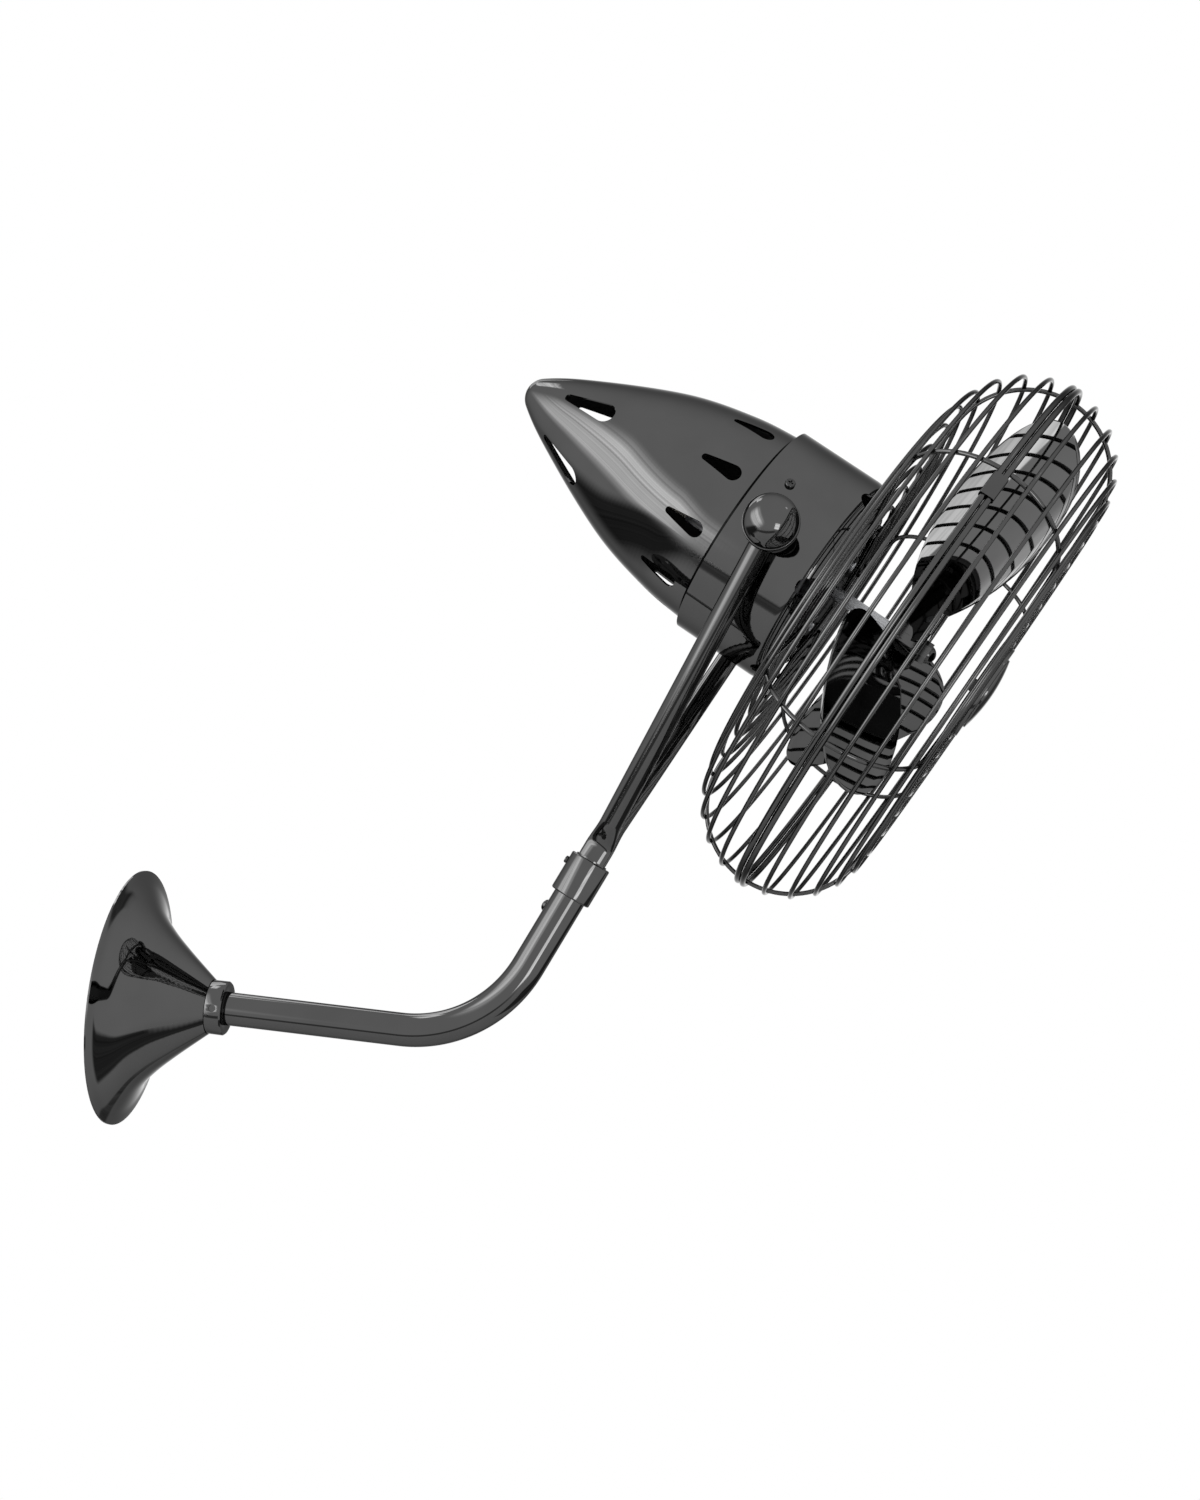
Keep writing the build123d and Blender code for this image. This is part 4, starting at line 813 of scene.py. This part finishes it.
WIRE_R, RIM_WIRE_R, RIM_S, RIM_R, WELD, TOUCH = 1.65, 2.2, 112.5, 207.5, 1.0, 0.05
CROWN_CENTRE_R, CROWN_R = 145.0, 62.0
CROWN_ANGLES = (17.0, 34.0, 50.5, 66.0, 80.0)
FACE_HOOPS_R, FRONT_INNER_HOOP_R = (140.0, 123.0, 106.0, 89.0, 72.0, 56.0), 40.0
RIB_WRAP, RIB_WRAP_STEPS, REAR_RIB_END_R, FRONT_RIB_END_R = 88.3, 24, 50.0, 34.0
WIRE_SIDES, RIM_SIDES = 10, 16

cage_sizes = {"Wire Radius": WIRE_R, "Ribs": 6, "First Rib Turn": radians(1.0), "Hoop Steps": 160}
tree, given, end = tree_for("wire_cage", cage_sizes)
# the seed's loose points are the hoops, with their radius in X and their place along the axis in Z
joins = add(tree, "GeometryNodeInputMeshVertexNeighbors")
on_line = add(
    tree,
    "FunctionNodeCompare",
    {2: joins.outputs["Vertex Count"]},
    data_type="INT",
    operation="GREATER_THAN",
)
split = add(
    tree,
    "GeometryNodeSeparateGeometry",
    {"Geometry": given["Geometry"], "Selection": on_line.outputs[0]},
)
place = add(tree, "GeometryNodeInputPosition")
parts = add(tree, "ShaderNodeSeparateXYZ", {0: place.outputs[0]})
keep = add(tree, "GeometryNodeCaptureAttribute")
keep.capture_items.new("FLOAT", "Radius")
tree.links.new(split.outputs["Inverted"], keep.inputs["Geometry"])
tree.links.new(parts.outputs["X"], keep.inputs["Radius"])
on_axis = add(tree, "ShaderNodeCombineXYZ", {"Z": parts.outputs["Z"]})
centres = add(
    tree,
    "GeometryNodeSetPosition",
    {"Geometry": keep.outputs["Geometry"], "Position": on_axis.outputs[0]},
)
unit_hoop = add(
    tree, "GeometryNodeCurvePrimitiveCircle", {"Resolution": given["Hoop Steps"], "Radius": 1.0}
)
reach = add(
    tree,
    "ShaderNodeCombineXYZ",
    {"X": keep.outputs["Radius"], "Y": keep.outputs["Radius"], "Z": 1.0},
)
hoops = add(
    tree,
    "GeometryNodeInstanceOnPoints",
    {
        "Points": centres.outputs["Geometry"],
        "Instance": unit_hoop.outputs["Curve"],
        "Scale": reach.outputs[0],
    },
)
# the seed's line is one rib, repeated round the axis
rib = add(tree, "GeometryNodeMeshToCurve", {"Mesh": split.outputs["Selection"]})
ribs = copied_round(tree, rib.outputs["Curve"], given["Ribs"], given["First Rib Turn"])
both = add(tree, "GeometryNodeJoinGeometry", {"Geometry": hoops.outputs["Instances"]})
tree.links.new(ribs, both.inputs["Geometry"])
lines = add(tree, "GeometryNodeRealizeInstances", {"Geometry": both.outputs["Geometry"]})
section = add(
    tree,
    "GeometryNodeCurvePrimitiveCircle",
    {"Resolution": WIRE_SIDES, "Radius": given["Wire Radius"]},
)
wires = add(
    tree,
    "GeometryNodeCurveToMesh",
    {
        "Curve": lines.outputs["Geometry"],
        "Profile Curve": section.outputs["Curve"],
        "Fill Caps": True,
    },
)
finish_tree(tree, wires.outputs["Mesh"], wire_nickel, end)

rib_bend_r = CROWN_R - 2 * WIRE_R + WELD
for name, facing, face_hoops, rib_end in (
    ("rear_guard", -1, FACE_HOOPS_R, REAR_RIB_END_R),
    ("front_guard", 1, FACE_HOOPS_R + (FRONT_INNER_HOOP_R,), FRONT_RIB_END_R),
):
    crown = [radians(a) for a in CROWN_ANGLES]
    points = [
        (CROWN_CENTRE_R + CROWN_R * cos(a), 0.0, RIM_S + facing * CROWN_R * sin(a)) for a in crown
    ]
    points += [(r, 0.0, RIM_S + facing * CROWN_R) for r in face_hoops]
    first = len(points)
    bend = [radians(RIB_WRAP * k / RIB_WRAP_STEPS) for k in range(RIB_WRAP_STEPS + 1)]
    points.append((rib_end, 0.0, RIM_S + facing * rib_bend_r))
    points += [
        (CROWN_CENTRE_R + rib_bend_r * sin(t), 0.0, RIM_S + facing * rib_bend_r * cos(t))
        for t in bend
    ]
    seed = bpy.data.meshes.new(f"{name}_lines")
    seed.from_pydata(points, [(i, i + 1) for i in range(first, len(points) - 1)], [])
    cage_mesh = moved(grown(f"{name}_skin", seed, tree, cage_sizes), HEAD)
    rim_centre = (RIM_S + facing * (RIM_WIRE_R + TOUCH), RIM_R)
    rim_section = arc(rim_centre, RIM_WIRE_R, 0, 360, RIM_SIDES)[:-1]
    work = bmesh.new()
    work.from_mesh(cage_mesh)
    work.from_mesh(turned("rim_hoop", rim_section, HEAD, segments=192))
    work.to_mesh(cage_mesh)
    work.free()
    piece(f"{name}_skin", cage_mesh, wire_nickel, "head", name, crease=50)

# Mounting ring, its screws and the rim's clips: the ring is a flat washer stamped from 2.4 mm steel
# and welded to the rear ribs, and two folded clips snap over the rims to hold the halves together.
coat(wire_nickel, "guard_mount_ring", "rim_clips")
coat(screw_nickel, "guard_screws")

# Medallion: a plain disc pressed from sheet, with a raised and gently domed middle, held to the
# front ribs by a clamp plate behind.
MEDAL_S, MEDAL_R, MEDAL_EDGE = RIM_S + CROWN_R + WIRE_R + TOUCH, 36.5, 0.8
MEDAL_THICK, MEDAL_RAISE, MEDAL_DOME = 2.4, 3.6, 3.4
MEDAL_STEP_R, STEP_FOOT = 28.0, ((MEDAL_THICK, 28.6), (2.6, 28.2))
MEDAL_STEM_R, MEDAL_STEM = 2.0, 9.0
dome_ball = (MEDAL_STEP_R**2 + MEDAL_DOME**2) / (2 * MEDAL_DOME)
dome_turn = asin(MEDAL_STEP_R / dome_ball)
dome_base = MEDAL_S + MEDAL_RAISE + MEDAL_DOME - dome_ball
medal_section = [(MEDAL_S - MEDAL_STEM, 0.0), (MEDAL_S - MEDAL_STEM, MEDAL_STEM_R)]
medal_section += [(MEDAL_S, MEDAL_STEM_R), (MEDAL_S, MEDAL_R)]
medal_section += arc(
    (MEDAL_S + MEDAL_THICK - MEDAL_EDGE, MEDAL_R - MEDAL_EDGE), MEDAL_EDGE, 90, 0, 4
)
medal_section += [(MEDAL_S + lift, r) for lift, r in STEP_FOOT]
dome_turns = [dome_turn * k / 16 for k in range(16, 0, -1)]
medal_section += [(dome_base + dome_ball * cos(a), dome_ball * sin(a)) for a in dome_turns]
medal_section.append((dome_base + dome_ball, 0.0))
piece(
    "medallion_skin",
    turned("medallion_skin", medal_section, HEAD, segments=128),
    tube_nickel,
    "head",
    "medallion",
    crease=25,
)
coat(screw_nickel, "medallion_clamp")

# Blades and hub: each of the three paddles is stamped from 1.5 mm sheet with a twist and a camber,
# polished and plated, and screwed to a turned hub that a nut holds on the motor's shaft.
# Black nickel on polished sheet: the lightest plate on the fan, and its clearest mirror.
blade_nickel = black_nickel("black_nickel_on_polished_blade", "#5c5c5c", "#686868", (0.02, 0.05))
BLADE_ROOT_R, BLADE_TIP_R, BLADE_HALF_WIDTH, BLADE_ROOT_HALF = 28.0, 187.0, 60.0, 20.0
BLADE_S, BLADE_CAMBER, FLAT_AT_HALF, BLADE_THICK, TIP_TRIM = 117.5, 8.0, 64.0, 1.5, 0.02
ROOT_PITCH, BLADE_TWIST, FIRST_BLADE_TURN, BLADE_SPACING = 48.0, 14.0, 1, 120
ROWS, COLUMNS = 56, 28
round_at = BLADE_TIP_R - BLADE_HALF_WIDTH
spread = BLADE_HALF_WIDTH - BLADE_ROOT_HALF
flare_r = ((round_at - BLADE_ROOT_R) ** 2 + spread**2) / (2 * spread)
for number in (1, 2, 3):
    rings = []
    for i in range(ROWS + 1):
        r = BLADE_ROOT_R + (BLADE_TIP_R - TIP_TRIM - BLADE_ROOT_R) * sin(pi / 2 * i / ROWS)
        if r < round_at:
            half = BLADE_HALF_WIDTH - flare_r + sqrt(flare_r**2 - (round_at - r) ** 2)
        else:
            half = sqrt(BLADE_HALF_WIDTH**2 - (r - round_at) ** 2)
        pitch = radians(
            ROOT_PITCH - BLADE_TWIST * (r - BLADE_ROOT_R) / (BLADE_TIP_R - BLADE_ROOT_R)
        )
        along, normal = Vector((0, cos(pitch), sin(pitch))), Vector((0, -sin(pitch), cos(pitch)))
        front, back = [], []
        for j in range(COLUMNS + 1):
            chord = half * (2 * j / COLUMNS - 1)
            sag = BLADE_CAMBER * (1 - (chord / FLAT_AT_HALF) ** 2)
            base = Vector((r, 0, 0)) + along * chord
            front.append(base - normal * sag)
            back.append(base - normal * (sag + BLADE_THICK))
        rings.append(front + back[::-1])
    turn = Matrix.Rotation(radians(FIRST_BLADE_TURN + BLADE_SPACING * (number - 1)), 4, "Z")
    round_the_hub = HEAD @ Matrix.Translation((0, 0, BLADE_S)) @ turn
    blade_mesh = mesh_through(f"blade_{number}_skin", rings, round_the_hub, capped=True)
    piece(
        f"blade_{number}_skin", blade_mesh, blade_nickel, "rotor", f"blade_{number}", rounded=0.35
    )
coat(tube_nickel, "blade_hub", "hub_nut")
coat(screw_nickel, "blade_screws")

# Studio: a pale floor two metres below, which fades out at its edges, three lamps at a plain level,
# and a white room that the camera and the plated metal both see. Soft boxes and black flags stand
# in it only for the plate to mirror, as a photographer places them round polished metal.
# Painted board: matt off-white, with the 5 mm clouds that a roller leaves.
board, tree, surface = bare_finish("painted_floor_board", 0.0)
spot = add(tree, "ShaderNodeTexCoord")
roller = add(tree, "ShaderNodeTexNoise", {"Vector": spot.outputs["Object"], "Scale": 200.0})
pale = add(
    tree,
    "ShaderNodeMix",
    {"Factor": roller.outputs["Fac"], 6: linear("#f4f4f4"), 7: linear("#fafafa")},
    data_type="RGBA",
)
tree.links.new(pale.outputs[2], surface.inputs["Base Color"])
surface.inputs["Roughness"].default_value = 0.9


def faded_sheet(name, corners, made, surface, soft):
    """A four-cornered sheet in this material, which fades into the room over the share `soft`."""
    mesh = bpy.data.meshes.new(name)
    mesh.from_pydata(corners, [], [(0, 1, 2, 3)])
    sheet = mesh.uv_layers.new(name="sheet").data
    for corner, spot in zip(sheet, ((0, 0), (1, 0), (1, 1), (0, 1))):
        corner.uv = spot
    tree = made.node_tree
    spread = add(tree, "ShaderNodeUVMap", uv_map="sheet")
    parts = add(tree, "ShaderNodeSeparateXYZ", {0: spread.outputs["UV"]})
    fades = []
    for direction in ("X", "Y"):
        edge = add(
            tree, "ShaderNodeMath", {0: parts.outputs[direction], 1: 0.5}, operation="PINGPONG"
        )
        fade = add(
            tree,
            "ShaderNodeMapRange",
            {"Value": edge.outputs[0], "From Max": soft},
            interpolation_type="SMOOTHSTEP",
        )
        fades.append(fade.outputs["Result"])
    solid = add(tree, "ShaderNodeMath", {0: fades[0], 1: fades[1]}, operation="MULTIPLY")
    open_air = add(tree, "ShaderNodeBsdfTransparent")
    mixed = add(
        tree,
        "ShaderNodeMixShader",
        {0: solid.outputs[0], 1: open_air.outputs[0], 2: surface.outputs[0]},
    )
    shown = [node for node in tree.nodes if node.type == "OUTPUT_MATERIAL"][0]
    tree.links.new(mixed.outputs[0], shown.inputs["Surface"])
    mesh.materials.append(made)
    stood = in_scene(name, mesh)
    return stood


floor_corners = [(-3.5, -4, -2), (4.5, -4, -2), (4.5, 4, -2), (-3.5, 4, -2)]
faded_sheet("floor", floor_corners, board, surface, 0.5)


# The folds and ridges are painted: bands of lower and higher glow on a flat card.
DIM, BRIGHT = 0.4, 1.25  # the share of a card's glow in its folds and on its ridges


def card(name, near, turn, rise, distance, width, height, tilt, glow, soft):
    """A card for the plate to mirror, seen from a point at this turn and rise in degrees: black
    cloth where its glow is low, and otherwise a lit diffuser. Both are flat sheets with painted
    folds, their glow lower and higher in bands along their width, and fade out at their edges over
    the share `soft`. Lengths are in metres."""
    turn, rise = radians(turn), radians(rise)
    out = Vector((cos(turn) * cos(rise), sin(turn) * cos(rise), sin(rise)))
    middle = Vector(near) + out * distance
    side = out.cross(Vector((0, 0, 1))).normalized()
    side = Matrix.Rotation(radians(tilt), 3, out) @ side
    top = side.cross(out)
    spots = ((-0.5, -0.5), (0.5, -0.5), (0.5, 0.5), (-0.5, 0.5))
    corners = [middle + side * width * u + top * height * v for u, v in spots]
    made = bpy.data.materials.new(name)
    made.use_nodes = True
    tree = made.node_tree
    tree.nodes.remove(tree.nodes["Principled BSDF"])
    spread = add(tree, "ShaderNodeUVMap", uv_map="sheet")
    parts = add(tree, "ShaderNodeSeparateXYZ", {0: spread.outputs["UV"]})
    # painted folds: the glow dims and brightens in bands that run along the card's width
    painted_fold_bands = add(
        tree,
        "ShaderNodeTexNoise",
        {"W": parts.outputs["Y"], "Scale": 7.0, "Detail": 4.0, "Roughness": 0.65},
        noise_dimensions="1D",
    )
    banded_glow = add(
        tree,
        "ShaderNodeMapRange",
        {
            "Value": painted_fold_bands.outputs["Fac"],
            "From Min": 0.3,
            "From Max": 0.7,
            "To Min": DIM * glow,
            "To Max": BRIGHT * glow,
        },
    )
    cloth = add(
        tree,
        "ShaderNodeEmission",
        {"Color": linear("#ffffff"), "Strength": banded_glow.outputs["Result"]},
    )
    stood = faded_sheet(name, corners, made, cloth, soft)
    stood.visible_camera = stood.visible_diffuse = stood.visible_shadow = False


housing, trumpet_mouth = (0.33, -0.08, 0.42), (0.02, -0.05, -0.04)
blades_at, fan_middle = (0.52, 0.0, 0.42), (0.3, 0.0, 0.15)
# each line: the point, turn, rise, distance, width, height, tilt, glow and the soft share
card("long_soft_box", housing, -144, 3, 2.2, 4.0, 2.3, -58, 5.0, 0.35)
card("nose_soft_box", housing, 160, 57, 2.2, 0.8, 0.6, 0, 6.0, 0.2)
card("high_soft_box", blades_at, 137, 40, 2.6, 1.4, 1.1, 0, 6.0, 0.05)
card("soft_box_by_the_camera", fan_middle, -60, -16, 2.2, 0.75, 0.9, 0, 7.0, 0.15)
card("flag_under_the_camera", fan_middle, -100, -42, 1.8, 3.2, 0.45, 0, 0.3, 0.25)
card("small_soft_box", housing, -17, 42, 2.0, 0.3, 0.3, 0, 4.0, 0.3)
card("low_left_flag", housing, 176, -30, 2.0, 4.2, 1.2, -12, 0.12, 0.3)
card("low_right_flag", trumpet_mouth, 20, -30, 1.8, 2.0, 0.75, 35, 0.15, 0.12)
card("low_far_flag", trumpet_mouth, 67, -27, 1.8, 0.25, 1.3, 0, 0.45, 0.25)
card("right_flag", trumpet_mouth, 54, 9, 1.8, 0.45, 0.9, 0, 0.25, 0.25)

aim = Vector((0.38, 0.0, 0.28))
for name, at, width, height, watts in (
    ("key", (-0.7, -1.9, 1.6), 0.7, 1.5, 18),
    ("fill", (2.1, -1.3, 0.9), 0.4, 1.8, 12),
    ("top", (0.4, 0.2, 2.1), 1.6, 0.5, 16),
):
    lamp = bpy.data.lights.new(name, "AREA")
    lamp.shape, lamp.size, lamp.size_y, lamp.energy = "RECTANGLE", width, height, watts
    lamp_stand = in_scene(name, lamp)
    lamp_stand.location = at
    lamp_stand.rotation_euler = (aim - Vector(at)).to_track_quat("-Z", "Y").to_euler()
    lamp_stand.visible_glossy = False

ROOM_LIGHT, SEEN_WHITE = 0.6, 1.0
room = bpy.data.worlds.new("studio")
bpy.context.scene.world = room
room.use_nodes = True
tree = room.node_tree
tree.nodes.clear()
ray = add(tree, "ShaderNodeLightPath")
seen = add(
    tree,
    "ShaderNodeMath",
    {0: ray.outputs["Is Camera Ray"], 1: ray.outputs["Is Glossy Ray"]},
    operation="MAXIMUM",
)
shown_white = add(
    tree,
    "ShaderNodeMath",
    {0: seen.outputs[0], 1: ray.outputs["Is Transmission Ray"]},
    operation="MAXIMUM",
)
walls = add(tree, "ShaderNodeBackground", {"Color": linear("#ffffff"), "Strength": ROOM_LIGHT})
backdrop = add(tree, "ShaderNodeBackground", {"Color": linear("#ffffff"), "Strength": SEEN_WHITE})
pick = add(
    tree,
    "ShaderNodeMixShader",
    {0: shown_white.outputs[0], 1: walls.outputs[0], 2: backdrop.outputs[0]},
)
add(tree, "ShaderNodeOutputWorld", {"Surface": pick.outputs[0]})
bpy.context.scene.view_settings.view_transform = "Standard"
